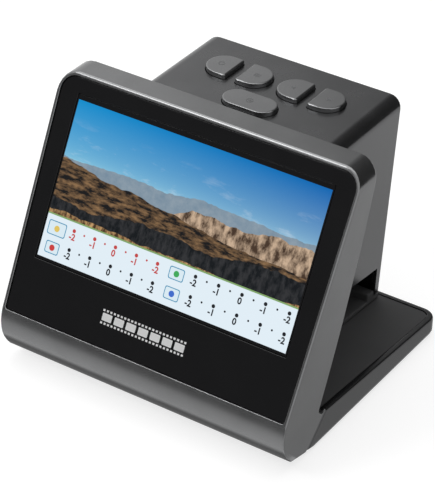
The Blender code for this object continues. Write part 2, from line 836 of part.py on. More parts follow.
def back_panel(grey):
    """Rear wall of the display housing, a bowed sheet that straddles the tower."""
    foot, head = arm_edge(BACK_INSET / cos(FRONT_LEAN))
    top = HEIGHT - SHELL_WALL - SEAT_GAP
    depth = BACK_THICKNESS / cos(FRONT_LEAN)
    outer = [foot, *bow(foot, head, ARM_BOW), head]
    inner = [(y - depth, z) for y, z in reversed(outer)]
    half = half_width(HEIGHT)
    panel = prism("back_panel", outer + inner, -half, half, "X", finish=grey)
    radius = SHOULDER_RADIUS - SHELL_WALL - SEAT_GAP
    outline = shell_front_outline(SHELL_WALL + SEAT_GAP, top, radius)
    boolean(panel, prism("clip_back_panel", outline, NOSE_Y, REAR_Y, "Y"), "INTERSECT")
    passage = tower_front_outline(-SEAT_GAP, TOWER_TOP + SEAT_GAP)
    doorway = prism("cut_tower_doorway", passage, NOSE_Y, REAR_Y, "Y")
    cut(panel, doorway, floor_cutter("cut_back_panel_foot", SEAT_GAP))
    return panel


def floor_cutter(name, clearance):
    """Everything below the inlay plate's upper face and a clearance above it."""
    front, rear = NOSE_Y - OVERRUN, REAR_Y + OVERRUN
    outline = [
        (front, -OVERRUN),
        (rear, -OVERRUN),
        (rear, plate_top_z(rear) + clearance),
        (front, plate_top_z(front) + clearance),
    ]
    return prism(name, outline, -half_width(HEIGHT), half_width(HEIGHT), "X")


# Base


def base_plan(inset=0.0, low=-OVERRUN, high=None):
    """The base's outer walls: a plan outline with round rear corners and drafted sides."""
    high = base_top_z(NOSE_Y) + OVERRUN if high is None else high
    half = FOOT_HALF_WIDTH - inset
    front, rear = NOSE_Y - OVERRUN, REAR_Y - inset
    radius = BASE_CORNER_RADIUS - inset
    plan = rounded([(-half, front, 0), (half, front, 0), (half, rear, radius), (-half, rear, radius)])
    mesh = outline_mesh("base_plan", plan, low, high, "Z")
    for vertex in mesh.vertices:
        vertex.co.x *= 1 + vertex.co.z * tan(SIDE_DRAFT) / FOOT_HALF_WIDTH
    return mesh


def base_side_outline():
    """The base seen from the side, behind the seam."""
    gap = SEAT_GAP * sqrt(2)
    top_y, foot_y = seam_top()[0] + gap, seam_foot()[0] + gap
    rear = REAR_Y + OVERRUN
    points = [(top_y, base_top_z(top_y)), (foot_y, underside_z(foot_y) + BASE_LIFT)]
    points += [(NOSE_Y + RAMP_RUN, STANDOFF + BASE_LIFT), (rear, STANDOFF + BASE_LIFT)]
    points += [(rear, base_top_z(rear))]
    return points


def slope_prism(name, plan, top_drop, bottom_drop, finish=None):
    """A plan outline between two planes that lie under the base's top edge and run parallel to it."""
    high = base_top_z(NOSE_Y - OVERRUN) + OVERRUN
    low = BASE_REAR_HEIGHT - 2 * OVERRUN
    piece = prism(name, plan, low, high, finish=finish)
    front, rear = NOSE_Y - OVERRUN, REAR_Y + OVERRUN
    outline = [
        (front, base_top_z(front) - bottom_drop),
        (rear, base_top_z(rear) - bottom_drop),
        (rear, base_top_z(rear) - top_drop),
        (front, base_top_z(front) - top_drop),
    ]
    half = half_width(HEIGHT)
    boolean(piece, prism("clip_" + name, outline, -half, half, "X"), "INTERSECT")
    return piece


def plate_plan(grow=0.0, front=None):
    """Plan outline of the inlay plate."""
    half = FOOT_HALF_WIDTH - PLATE_MARGIN + grow
    front = NOSE_Y + ARM_FOOT_RUN - PLATE_TUCK if front is None else front
    rear = REAR_Y - PLATE_MARGIN + grow
    radius = BASE_CORNER_RADIUS - PLATE_MARGIN + grow
    return rounded([(-half, front, 0), (half, front, 0), (half, rear, radius), (-half, rear, radius)])


def screw_places():
    """Places of the four bottom screws."""
    rows = (NOSE_Y + SCREW_FRONT_SETBACK, REAR_Y - SCREW_REAR_SETBACK)
    return [(side * (FOOT_HALF_WIDTH - SCREW_SIDE_INSET), y) for y in rows for side in (-1, 1)]


def foot_places():
    """Places of the four rubber feet."""
    rows = (NOSE_Y + FOOT_FRONT_SETBACK, REAR_Y - FOOT_REAR_SETBACK)
    return [(side * (FOOT_HALF_WIDTH - FOOT_SIDE_INSET), y) for y in rows for side in (-1, 1)]


def cover_top():
    """Height of the bottom cover's upper face."""
    return STANDOFF + COVER_THICKNESS


def base_shell(grey):
    """Base moulding: side and rear walls, a rim round the inlay plate and the ledge under it."""
    shell = add("base_shell", base_plan(), finish=grey)
    half = half_width(HEIGHT)
    boolean(shell, prism("clip_base", base_side_outline(), -half, half, "X"), "INTERSECT")
    round_edges(shell, BASE_EDGE_ROUND)
    pocket_floor = PLATE_RECESS + PLATE_THICKNESS + SEAT_GAP
    front = NOSE_Y - OVERRUN
    groove = slope_prism("cut_plate_pocket", plate_plan(PLATE_GROOVE, front), -OVERRUN, pocket_floor)
    opening = slope_prism("cut_base_opening", plate_plan(-LEDGE_WIDTH, front), -OVERRUN, 2 * OVERRUN)
    room_drop = pocket_floor + LEDGE_THICKNESS
    room_plan = plate_plan(PLATE_MARGIN - BASE_WALL, front)
    room = slope_prism("cut_base_room", room_plan, room_drop, 2 * OVERRUN)
    cut(shell, groove, room, opening)
    rib_y = seam_top()[0] + FRONT_RIB_SETBACK
    rib_top = base_top_z(rib_y + FRONT_RIB_THICKNESS) - pocket_floor - LEDGE_THICKNESS * TOUCH_SHARE
    rib_half = FOOT_HALF_WIDTH - BASE_WALL * TOUCH_SHARE
    rib = block(
        "join_front_rib",
        (-rib_half, rib_y, cover_top() + SEAT_GAP),
        (rib_half, rib_y + FRONT_RIB_THICKNESS, rib_top),
    )
    join(shell, rib)
    for index, (x, y) in enumerate(screw_places()):
        label = str(index + 1)
        boss_top = base_top_z(y + BOSS_RADIUS) - pocket_floor - LEDGE_THICKNESS * TOUCH_SHARE
        join(shell, rod("join_screw_boss_" + label, BOSS_RADIUS, cover_top() + SEAT_GAP, boss_top, (x, y)))
        hole_radius = SCREW_RADIUS + SEAT_GAP
        hole_top = STANDOFF + SCREW_HEAD_HEIGHT + SCREW_LENGTH + SEAT_GAP
        cut(shell, rod("cut_screw_hole_" + label, hole_radius, -OVERRUN, hole_top, (x, y)))
    return shell


def base_plate(black):
    """Black inlay plate on the base; the film bed lies on it and carries the camera tower."""
    drop = PLATE_RECESS
    plate = slope_prism("base_plate", plate_plan(), drop, drop + PLATE_THICKNESS, finish=black)
    length = WINDOW_LENGTH + 2 * LIGHT_OPENING_MARGIN
    width = WINDOW_WIDTH + 2 * LIGHT_OPENING_MARGIN
    opening = rectangle(length, width, centre=(0, film_y()))
    cut(plate, prism("cut_light_opening", opening, -OVERRUN, HEIGHT))
    return plate


def bottom_cover(black):
    """Bottom cover: a sheet that follows the underside, with feet pockets and screw seats."""
    (top_y, top_z), (foot_y, foot_z) = seam_top(), seam_foot()
    seam_step = (top_y - foot_y) / (top_z - foot_z)
    front = foot_y + (SHELL_WALL + SEAT_GAP) * seam_step + SEAT_GAP
    flat, rear = NOSE_Y + RAMP_RUN, REAR_Y + OVERRUN
    outline = [(front, underside_z(front)), (flat, STANDOFF), (rear, STANDOFF)]
    outline += [(y, z + COVER_THICKNESS) for y, z in reversed(outline)]
    inset = BASE_WALL + SEAT_GAP
    cover = add("bottom_cover", base_plan(inset), finish=black)
    half = half_width(HEIGHT)
    boolean(cover, prism("clip_cover", outline, -half, half, "X"), "INTERSECT")
    for index, (x, y) in enumerate(foot_places()):
        radius = FOOT_RADIUS + SEAT_GAP
        cut(cover, rod("cut_foot_pocket_" + str(index + 1), radius, -OVERRUN, STANDOFF + FOOT_POCKET, (x, y)))
    for index, (x, y) in enumerate(screw_places()):
        label = str(index + 1)
        cut(cover, rod("cut_cover_hole_" + label, SCREW_RADIUS + SEAT_GAP, -OVERRUN, OVERRUN, (x, y)))
        seat_top = STANDOFF + SCREW_HEAD_HEIGHT + SEAT_GAP
        cut(cover, rod("cut_screw_seat_" + label, SCREW_HEAD_RADIUS + SEAT_GAP, -OVERRUN, seat_top, (x, y)))
    return cover


def feet(rubber):
    """Four round rubber feet in the bottom cover's pockets."""
    top = STANDOFF + FOOT_POCKET - SEAT_GAP
    for index, (x, y) in enumerate(foot_places()):
        foot = rod("rubber_foot_" + str(index + 1), FOOT_RADIUS, 0, top, finish=rubber)
        foot.location = (x, y, 0)
        round_edges(foot, FOOT_EDGE_ROUND, segments=1)
        smooth(foot)


def bottom_screws(steel):
    """Four screws that hold the bottom cover, their slotted heads let into it."""
    for index, (x, y) in enumerate(screw_places()):
        head_top = STANDOFF + SCREW_HEAD_HEIGHT
        profile = [
            (0, head_top + SCREW_LENGTH),
            (SCREW_RADIUS, head_top + SCREW_LENGTH),
            (SCREW_RADIUS, head_top),
            (SCREW_HEAD_RADIUS, head_top),
            (SCREW_HEAD_RADIUS, STANDOFF),
            (0, STANDOFF),
        ]
        screw = turned("bottom_screw_" + str(index + 1), profile, finish=steel)
        screw.location = (x, y, 0)
        slot = block(
            "cut_screw_slot_" + str(index + 1),
            (-SCREW_HEAD_RADIUS - OVERRUN, -SCREW_SLOT_WIDTH / 2, -OVERRUN),
            (SCREW_HEAD_RADIUS + OVERRUN, SCREW_SLOT_WIDTH / 2, STANDOFF + SCREW_SLOT_DEPTH),
        )
        slot.location = (x, y, 0)
        cut(screw, slot)


# Camera tower


def tower_front_y(z):
    """Front end of the tower's walls, inside the display housing."""
    foot, head = arm_edge()
    slope = (head[0] - foot[0]) / (head[1] - foot[1])
    return foot[0] + (z - foot[1]) * slope - TOWER_TUCK


def tower_rear_y(z):
    """The tower's rear wall, which leans back a little."""
    return REAR_Y - TOWER_REAR_SETBACK - (TOWER_TOP - z) * tan(TOWER_REAR_LEAN)


def tower_side_outline():
    """The tower seen from the side; its foot follows the film bed."""
    front_z = bed_top_z(bed_front_y()) + SEAT_GAP
    rear_y = bed_rear_y()
    return [
        (bed_front_y(), front_z),
        (rear_y, bed_top_z(rear_y) + SEAT_GAP),
        (tower_rear_y(TOWER_TOP), TOWER_TOP),
        (tower_front_y(TOWER_TOP), TOWER_TOP),
        (tower_front_y(front_z + TOWER_TUCK), front_z + TOWER_TUCK),
    ]


def bed_front_y():
    """Front end of the film bed, under the display housing's rear edge."""
    return NOSE_Y + ARM_FOOT_RUN


def bed_rear_y():
    """Rear end of the film bed, flush with the tower's rear wall."""
    return tower_rear_y(BASE_REAR_HEIGHT)


def slot_ends():
    """Front and rear ends of the film slot along Y."""
    return NOSE_Y + SLOT_SETBACK, REAR_Y - SLOT_REAR_MARGIN


def tower_shell(grey):
    """Tower moulding, open below and to the display housing, with the film slot through it."""
    half = half_width(HEIGHT)
    shell = prism("tower_shell", tower_side_outline(), -half, half, "X", finish=grey)
    outline = prism("clip_tower", tower_front_outline(), NOSE_Y, REAR_Y + OVERRUN, "Y")
    boolean(shell, outline, "INTERSECT")
    round_edges(shell, TOWER_EDGE_ROUND)
    cut(shell, tower_room())
    for index, (x, y) in enumerate(key_boss_places()):
        low = key_board_top() + SEAT_GAP
        high = TOWER_TOP - TOWER_WALL * TOUCH_SHARE
        join(shell, rod("join_key_boss_" + str(index + 1), KEY_BOSS_RADIUS, low, high, (x, y)))
    for name, x, y, corners in keys():
        tool = key_prism("cut_" + name + "_hole", corners, KEY_CLEARANCE, -OVERRUN, OVERRUN)
        tool.location = (x, y, TOWER_TOP)
        cut(shell, tool)
    front, rear = slot_ends()
    corners = [
        (front, -OVERRUN, 0),
        (rear, -OVERRUN, 0),
        (rear, bed_top_z(rear) + SLOT_HEIGHT, SLOT_CORNER_RADIUS),
        (front, bed_top_z(front) + SLOT_HEIGHT, SLOT_CORNER_RADIUS),
    ]
    cut(shell, prism("cut_film_slot", rounded(corners, 3), -half, half, "X"))
    return shell


def tower_room():
    """The room inside the tower's walls."""
    top = TOWER_TOP - TOWER_WALL
    low_rear = tower_rear_y(-OVERRUN) - TOWER_WALL
    outline = [
        (NOSE_Y, -OVERRUN),
        (low_rear, -OVERRUN),
        (tower_rear_y(top) - TOWER_WALL, top),
        (NOSE_Y, top),
    ]
    half = half_width(HEIGHT)
    room = prism("cut_tower_room", outline, -half, half, "X")
    inner = tower_front_outline(TOWER_WALL, top, TOWER_CROWN_RADIUS - TOWER_WALL)
    boolean(room, prism("clip_tower_room", inner, NOSE_Y - OVERRUN, REAR_Y + OVERRUN, "Y"), "INTERSECT")
    return room


def film_bed(tilted, black):
    """Bed that the film holder slides over, with guide rails and the film window."""
    half = tower_half_width(bed_top_z(bed_rear_y()))
    front, rear = bed_front_y(), bed_rear_y()
    slot_front, slot_rear = slot_ends()
    outline = [(front, plate_top_z(front) + SEAT_GAP), (rear, plate_top_z(rear) + SEAT_GAP)]
    outline += [(rear, bed_top_z(rear))]
    for rail_front in (slot_rear - SEAT_GAP - RAIL_WIDTH, slot_front + SEAT_GAP):
        low, high = bed_top_z(rail_front + RAIL_WIDTH), bed_top_z(rail_front)
        outline += [
            (rail_front + RAIL_WIDTH, low),
            (rail_front + RAIL_WIDTH, low + RAIL_HEIGHT),
            (rail_front, high + RAIL_HEIGHT),
            (rail_front, high),
        ]
    outline += [(front, bed_top_z(front))]
    bed = round_edges(prism("film_bed", outline, -half, half, "X", finish=black), BED_EDGE_ROUND)
    window = block(
        "cut_film_window",
        (-WINDOW_LENGTH / 2, -WINDOW_WIDTH / 2, -FILM_BED_TOP),
        (WINDOW_LENGTH / 2, WINDOW_WIDTH / 2, OVERRUN),
        tilted,
    )
    seat = diffuser_size(SEAT_GAP)
    recess = block(
        "cut_diffuser_recess",
        (-seat[0], -seat[1], -FILM_BED_TOP),
        (seat[0], seat[1], -DIFFUSER_DEPTH + SEAT_GAP),
        tilted,
    )
    cut(bed, window, recess)
    return bed


def diffuser_size(grow=0.0):
    """Half sizes of the light diffuser."""
    return (
        WINDOW_LENGTH / 2 + DIFFUSER_MARGIN + grow,
        WINDOW_WIDTH / 2 + DIFFUSER_MARGIN + grow,
    )


def light_diffuser(tilted, opal):
    """Opal sheet under the film window."""
    half_length, half_depth = diffuser_size()
    top = -DIFFUSER_DEPTH
    low = (-half_length, -half_depth, top - DIFFUSER_THICKNESS)
    return block("light_diffuser", low, (half_length, half_depth, top), tilted, opal)


def light_unit(white, board_green):
    """White light box under the diffuser and the board with its light sources."""
    centre = (0, film_y())
    length = WINDOW_LENGTH + 2 * (DIFFUSER_MARGIN - LIGHT_BOX_INSET)
    width = WINDOW_WIDTH + 2 * (DIFFUSER_MARGIN - LIGHT_BOX_INSET)
    board_low = cover_top() + SEAT_GAP
    board_high = board_low + LED_BOARD_THICKNESS
    plan = rectangle(length + LED_BOARD_MARGIN, width + LED_BOARD_MARGIN, centre=centre)
    board = prism("light_board", plan, board_low, board_high, finish=board_green)
    for column in range(LED_COLUMNS):
        for row in range(LED_ROWS):
            x = (column - (LED_COLUMNS - 1) / 2) * LED_PITCH
            y = film_y() + (row - (LED_ROWS - 1) / 2) * LED_PITCH
            source = block(
                "join_light_source_" + str(column * LED_ROWS + row + 1),
                (x - LED_SIZE / 2, y - LED_SIZE / 2, board_high - LED_BOARD_THICKNESS * HALF),
                (x + LED_SIZE / 2, y + LED_SIZE / 2, board_high + LED_HEIGHT),
            )
            join(board, source)
    low = board_high + SEAT_GAP
    outer = rectangle(length, width, centre=centre)
    inner = rectangle(length - 2 * LIGHT_WALL, width - 2 * LIGHT_WALL, centre=centre)
    box = prism("light_box", outer, low, HEIGHT * HALF, finish=white, holes=[inner])
    drop = (DIFFUSER_DEPTH + DIFFUSER_THICKNESS + SEAT_GAP) / cos(FILM_TILT)
    front, rear = NOSE_Y, REAR_Y
    outline = [(front, bed_top_z(front) - drop), (rear, bed_top_z(rear) - drop)]
    outline += [(rear, HEIGHT), (front, HEIGHT)]
    half = half_width(HEIGHT)
    cut(box, prism("cut_light_box_top", outline, -half, half, "X"))


def film_guide(tilted, black):
    """Black ceiling of the film slot, with the opening that the camera looks through."""
    low, high = SLOT_HEIGHT, SLOT_HEIGHT + GUIDE_THICKNESS
    lowest = FILM_BED_TOP + low * cos(FILM_TILT) - SLOT_LENGTH / 2 * sin(FILM_TILT)
    half = tower_half_width(lowest) - TOWER_WALL - SEAT_GAP
    size = (2 * half, SLOT_LENGTH - 2 * SEAT_GAP)
    hole = rectangle(WINDOW_LENGTH + 2 * WINDOW_BEVEL, WINDOW_WIDTH + 2 * WINDOW_BEVEL)
    return prism("film_guide", rectangle(*size), low, high, parent=tilted, finish=black, holes=[hole])


# Camera


def hood_foot():
    """Height of the hood's foot over the film bed."""
    return SLOT_HEIGHT + GUIDE_THICKNESS + SEAT_GAP


def bracket_low():
    """Height of the camera bracket's lower face over the film bed."""
    return hood_foot() + HOOD_HEIGHT + SEAT_GAP


def frustum(name, foot, head, low, high, parent, finish=None):
    """A four-sided funnel form between two half sizes."""
    work = bmesh.new()
    bmesh.ops.create_cube(work, size=2)
    for vertex in work.verts:
        half = head if vertex.co.z > 0 else foot
        vertex.co.x *= half[0]
        vertex.co.y *= half[1]
        vertex.co.z = high if vertex.co.z > 0 else low
    mesh = bpy.data.meshes.new(name)
    work.to_mesh(mesh)
    work.free()
    return add(name, mesh, parent, finish)


def camera_hood(tilted, black):
    """Funnel that keeps stray light off the way from film to lens."""
    wall = HOOD_WALL
    foot = (WINDOW_LENGTH / 2 + HOOD_FOOT_MARGIN + wall, WINDOW_WIDTH / 2 + HOOD_FOOT_MARGIN + wall)
    head = (HOOD_TOP_HALF + wall, HOOD_TOP_HALF + wall)
    low, high = hood_foot(), hood_foot() + HOOD_HEIGHT
    hood = frustum("camera_hood", foot, head, low, high, tilted, black)
    spread = [(f - h) / HOOD_HEIGHT * OVERRUN for f, h in zip(foot, head)]
    inner_foot = [f - wall + s for f, s in zip(foot, spread)]
    inner_head = [h - wall - s for h, s in zip(head, spread)]
    cut(hood, frustum("cut_hood_room", inner_foot, inner_head, low - OVERRUN, high + OVERRUN, tilted))
    return hood


def camera_bracket(tilted, steel):
    """Channel across the tower that carries the camera between its two upright edges."""
    low = bracket_low()
    high = low + BRACKET_THICKNESS
    lowest = FILM_BED_TOP + low * cos(FILM_TILT) - BRACKET_DEPTH / 2 * sin(FILM_TILT)
    half = tower_half_width(lowest) - TOWER_WALL - SEAT_GAP
    outer, inner = BRACKET_DEPTH / 2, BRACKET_DEPTH / 2 - BRACKET_RIB_THICKNESS
    rim = high + BRACKET_RIB_HEIGHT
    channel = [
        (-outer, low),
        (outer, low),
        (outer, rim),
        (inner, rim),
        (inner, high),
        (-inner, high),
        (-inner, rim),
        (-outer, rim),
    ]
    bracket = prism("camera_bracket", channel, -half, half, "X", tilted, steel)
    side = MOUNT_SIZE / 2 + SEAT_GAP
    bore = block("cut_bracket_bore", (-side, -side, low - OVERRUN), (side, side, high + OVERRUN), tilted)
    cut(bracket, bore)
    return bracket


def lens_mount(tilted, black):
    """Square holder for the lens: its flange rests on the bracket."""
    seat = bracket_low() + BRACKET_THICKNESS + SEAT_GAP
    low = bracket_low()
    mount = prism(
        "lens_mount",
        rectangle(MOUNT_SIZE, MOUNT_SIZE),
        low,
        low + MOUNT_HEIGHT,
        parent=tilted,
        finish=black,
    )
    flange = rectangle(MOUNT_FLANGE, BRACKET_DEPTH - 2 * BRACKET_RIB_THICKNESS - 2 * SEAT_GAP)
    join(mount, prism("join_mount_flange", flange, seat, seat + MOUNT_FLANGE_THICKNESS, parent=tilted))
    cut(mount, rod("cut_mount_bore", MOUNT_BORE, low - OVERRUN, low + MOUNT_HEIGHT + OVERRUN, parent=tilted))
    return mount


def lens_barrel(tilted, black):
    """Turned lens barrel: the front cup looks down at the film."""
    low = bracket_low() - SEAT_GAP - BARREL_LIP_LENGTH
    collar = low + BARREL_LIP_LENGTH
    top = bracket_low() + MOUNT_HEIGHT - SENSOR_THICKNESS - BACK_FOCUS
    cup = low + BARREL_CUP_DEPTH
    profile = [
        (0, top),
        (BARREL_RADIUS, top),
        (BARREL_RADIUS, collar),
        (BARREL_LIP_RADIUS, collar),
        (BARREL_LIP_RADIUS, low),
        (BARREL_THROAT + BARREL_CUP_DEPTH, low),
        (BARREL_THROAT, cup),
        (0, cup),
    ]
    barrel = turned("lens_barrel", profile, tilted, black)
    smooth(barrel)
    return barrel


def sensor_unit(tilted, board_green, chip_black):
    """Image sensor and its board on top of the lens mount."""
    low = bracket_low() + MOUNT_HEIGHT + SEAT_GAP
    board = rectangle(SENSOR_BOARD_SIZE, SENSOR_BOARD_SIZE, BOARD_CORNER_RADIUS, steps=2)
    high = low + SENSOR_BOARD_THICKNESS
    prism("sensor_board", board, low, high, parent=tilted, finish=board_green)
    chip_high = low - SEAT_GAP
    chip = rectangle(SENSOR_SIZE, SENSOR_SIZE)
    prism("image_sensor", chip, chip_high - SENSOR_THICKNESS, chip_high, parent=tilted, finish=chip_black)


# Keys


def key_outline(corners, grow=0.0):
    """Outline of a key from its corners (x, y, radius), grown all round."""
    grown = []
    for x, y, radius in corners:
        grown.append((x + (grow if x > 0 else -grow), y + (grow if y > 0 else -grow), radius + grow))
    return rounded(grown)


def key_prism(name, corners, grow, low, high, finish=None):
    """A key's outline, grown all round, between two heights over the tower's top."""
    return prism(name, key_outline(corners, grow), low, high, finish=finish)


def key_corners(width, length, left, right):
    """Corners of a key with one radius on its left side and another on its right."""
    a, b = width / 2, length / 2
    return [(-a, -b, left), (a, -b, right), (a, b, right), (-a, b, left)]


def keys():
    """Name, place and corners of each key: two split ovals and, before them, the capture key."""
    row = REAR_Y - KEY_ROW_SETBACK
    shift = (KEY_PAIR_GAP + KEY_PAIR_WIDTH) / 2
    round_side = KEY_PAIR_LENGTH / 2
    left_half = key_corners(KEY_PAIR_WIDTH, KEY_PAIR_LENGTH, round_side, KEY_FLAT_RADIUS)
    right_half = key_corners(KEY_PAIR_WIDTH, KEY_PAIR_LENGTH, KEY_FLAT_RADIUS, round_side)
    places = []
    for side, names in ((-1, ("power_key", "menu_key")), (1, ("left_key", "right_key"))):
        middle = side * KEY_PAIR_SPACING / 2
        places.append((names[0], middle - shift, row, left_half))
        places.append((names[1], middle + shift, row, right_half))
    round_end = CAPTURE_LENGTH / 2
    capture = key_corners(CAPTURE_WIDTH, CAPTURE_LENGTH, round_end, round_end)
    places.append(("capture_key", 0, REAR_Y - CAPTURE_SETBACK, capture))
    return places


def flange_top():
    """Height of the keys' flanges under the tower's top, measured down from it."""
    return TOWER_WALL + SEAT_GAP


def stem_foot():
    """Depth of the lower end of a key's stem under the tower's top."""
    return flange_top() + KEY_FLANGE_THICKNESS + KEY_STEM_LENGTH


def switch_top():
    """Depth of a switch's upper face under the tower's top."""
    return stem_foot() + SEAT_GAP + PLUNGER_RISE


def key_board_top():
    """Height of the key board's upper face."""
    return TOWER_TOP - switch_top() - SWITCH_HEIGHT - SEAT_GAP


def key_board_bounds():
    """Half width, front and rear of the key board."""
    half = KEY_GROUP_HALF_WIDTH + KEY_BOARD_MARGIN
    front = REAR_Y - CAPTURE_SETBACK - CAPTURE_LENGTH / 2 - KEY_BOARD_MARGIN
    rear = REAR_Y - KEY_ROW_SETBACK + KEY_PAIR_LENGTH / 2 + KEY_BOARD_MARGIN
    return half, front, rear


def key_boss_places():
    """Places of the four bosses under the tower's top that carry the key board."""
    half, front, rear = key_board_bounds()
    inset = KEY_BOSS_RADIUS + SEAT_GAP
    return [(side * (half - inset), y) for y in (front + inset, rear - inset) for side in (-1, 1)]


def key_caps(cap_grey):
    """The five keys: a cap through the tower's top, a flange under it and a stem."""
    for name, x, y, corners in keys():
        cap = key_prism(name, corners, 0, -flange_top() - KEY_FLANGE_THICKNESS * HALF, KEY_RISE, cap_grey)
        cap.location = (x, y, TOWER_TOP)
        round_edges(cap, KEY_EDGE_ROUND)
        low = -flange_top() - KEY_FLANGE_THICKNESS
        flange = key_prism("join_" + name + "_flange", corners, KEY_FLANGE_WIDTH, low, -flange_top())
        stem = rod("join_" + name + "_stem", KEY_STEM_RADIUS, -stem_foot(), low + KEY_FLANGE_THICKNESS * HALF)
        for tool in (flange, stem):
            tool.parent = cap
            join(cap, tool)


def key_switches(board_green, switch_black, plunger_white):
    """The key board, and on it a push switch with its plunger under each key."""
    half, front, rear = key_board_bounds()
    plan = rectangle(2 * half, rear - front, BOARD_CORNER_RADIUS, (0, (front + rear) / 2), steps=2)
    top = key_board_top()
    prism("key_board", plan, top - KEY_BOARD_THICKNESS, top, finish=board_green)
    for name, x, y, corners in keys():
        label = name.replace("_key", "")
        lid = -switch_top()
        low = lid - SWITCH_HEIGHT
        case = rectangle(SWITCH_SIZE, SWITCH_SIZE)
        switch = prism(label + "_switch", case, low, lid, finish=switch_black)
        switch.location = (x, y, TOWER_TOP)
        round_edges(switch, SWITCH_EDGE_ROUND, segments=1)
        flange_high = lid - SWITCH_LID - SEAT_GAP
        flange_low = flange_high - PLUNGER_FLANGE_THICKNESS
        room_low = flange_low - KEY_TRAVEL - SEAT_GAP
        bore = rod("cut_" + label + "_bore", PLUNGER_RADIUS + SEAT_GAP, flange_high, lid + OVERRUN)
        room = rod("cut_" + label + "_room", PLUNGER_FLANGE_RADIUS + SEAT_GAP, room_low, lid - SWITCH_LID)
        for tool in (bore, room):
            tool.parent = switch
            cut(switch, tool)
        profile = [
            (0, lid + PLUNGER_RISE),
            (PLUNGER_RADIUS, lid + PLUNGER_RISE),
            (PLUNGER_RADIUS, flange_high),
            (PLUNGER_FLANGE_RADIUS, flange_high),
            (PLUNGER_FLANGE_RADIUS, flange_low),
            (0, flange_low),
        ]
        plunger = turned(label + "_plunger", profile, finish=plunger_white)
        plunger.location = (x, y, TOWER_TOP)
        smooth(plunger)


def build():
    """Clear the scene and make every piece."""
    for old in list(bpy.data.objects):
        bpy.data.objects.remove(old, do_unlink=True)
    grey = material("shell_grey", (0.110, 0.112, 0.118), 0.38)
    cap_grey = material("key_grey", (0.155, 0.158, 0.165), 0.42)
    gloss = material("gloss_black", (0.008, 0.008, 0.010), 0.08)
    satin = material("satin_black", (0.022, 0.022, 0.024), 0.45)
    inner_black = material("inner_black", (0.012, 0.012, 0.012), 0.60)
    glass = material("display_glass", (0.020, 0.060, 0.110), 0.06)
    green = material("board_green", (0.010, 0.100, 0.040), 0.40)
    steel = material("plated_steel", (0.550, 0.550, 0.560), 0.30, 1.0)
    white = material("moulded_white", (0.800, 0.800, 0.780), 0.50)
    rubber = material("foot_rubber", (0.015, 0.015, 0.015), 0.80)

    leaning = datum("front_plane", (0, TOP_FRONT_Y, HEIGHT), (pi / 2 - FRONT_LEAN, 0, 0))
    tilted = datum("film_plane", (0, film_y(), FILM_BED_TOP), (-FILM_TILT, 0, 0))

    front_shell(leaning, grey)
    front_panel(leaning, gloss)
    display_module(leaning, glass)
    display_frame(leaning, inner_black)
    main_board(leaning, green)
    board_chips(leaning, inner_black)
    usb_socket(leaning, steel)
    card_socket(leaning, steel)
    back_panel(grey)

    base_shell(grey)
    base_plate(satin)
    bottom_cover(satin)
    feet(rubber)
    bottom_screws(steel)

    tower_shell(grey)
    film_bed(tilted, satin)
    light_diffuser(tilted, white)
    light_unit(white, green)
    film_guide(tilted, inner_black)
    camera_hood(tilted, inner_black)
    camera_bracket(tilted, steel)
    lens_mount(tilted, inner_black)
    lens_barrel(tilted, inner_black)
    sensor_unit(tilted, green, inner_black)

    key_caps(cap_grey)
    key_switches(green, inner_black, white)


build()
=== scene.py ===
"""Looks of the film negative scanner: finishes, soft edges, lit display, prints and studio."""

from math import cos, radians, sin

import bmesh
import bpy
from mathutils import Matrix, Vector
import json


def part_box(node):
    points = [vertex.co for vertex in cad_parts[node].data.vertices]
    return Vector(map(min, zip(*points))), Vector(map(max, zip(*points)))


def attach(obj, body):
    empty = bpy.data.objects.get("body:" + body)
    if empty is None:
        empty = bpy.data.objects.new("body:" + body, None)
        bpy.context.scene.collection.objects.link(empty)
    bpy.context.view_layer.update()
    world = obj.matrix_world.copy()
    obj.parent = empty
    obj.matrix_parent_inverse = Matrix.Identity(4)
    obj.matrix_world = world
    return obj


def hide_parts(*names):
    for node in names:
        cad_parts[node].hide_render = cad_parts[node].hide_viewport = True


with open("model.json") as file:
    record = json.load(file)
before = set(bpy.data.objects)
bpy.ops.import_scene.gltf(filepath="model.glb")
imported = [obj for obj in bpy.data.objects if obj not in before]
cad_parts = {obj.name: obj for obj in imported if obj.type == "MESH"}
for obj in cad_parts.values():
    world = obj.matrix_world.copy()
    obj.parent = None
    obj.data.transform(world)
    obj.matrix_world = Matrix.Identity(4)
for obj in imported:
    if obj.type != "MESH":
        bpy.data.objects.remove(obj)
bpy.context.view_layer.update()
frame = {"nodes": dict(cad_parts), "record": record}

# Lengths are in metres, and colours are linear

scene = bpy.context.scene
BODY_OF = {
    name: body for body, names in frame["record"]["behaviour"]["bodies"].items() for name in names
}
SLOT_OF = {part["node"]: part["material_slot"] for part in frame["record"]["subparts"]}


# Node materials

WHITE = (1.0, 1.0, 1.0)

# Noise lies mostly inside the wide span; the narrow one, spread out, gives a harder pattern
WIDE_SPAN = (0.30, 0.70)
NARROW_SPAN = (0.35, 0.65)

# Cosine between a surface's true direction and its softened one, on a flat and at an edge
EDGE_COSINES = (0.995, 0.93)

# Mouldings
SPECK_SHARE = 0.35
GRAIN_STRENGTH = 0.35
# Edges go lighter, partly rubbed and partly as a painted highlight along them
WEAR_AND_HIGHLIGHT_SHARE = (0.5, 1.0)
WEAR_AND_HIGHLIGHT_GAIN = 2.2
WORN_POLISH = 0.08
ROUGHNESS_SWING = 0.03

# The display's polished black glass
GLASS_DARK = (0.0045, 0.0045, 0.0050)
GLASS_PALE = (0.0055, 0.0055, 0.0060)
GLASS_ROUGHNESS = (0.10, 0.14)
GLASS_SPECULAR = 0.25
PIXEL_SIZE = 0.0004
PIXEL_SHADE = 0.97


def new_tree(name):
    """A new material; returns it, its node tree and its Principled shader."""
    made = bpy.data.materials.new(name)
    made.use_nodes = True
    return made, made.node_tree, made.node_tree.nodes["Principled BSDF"]


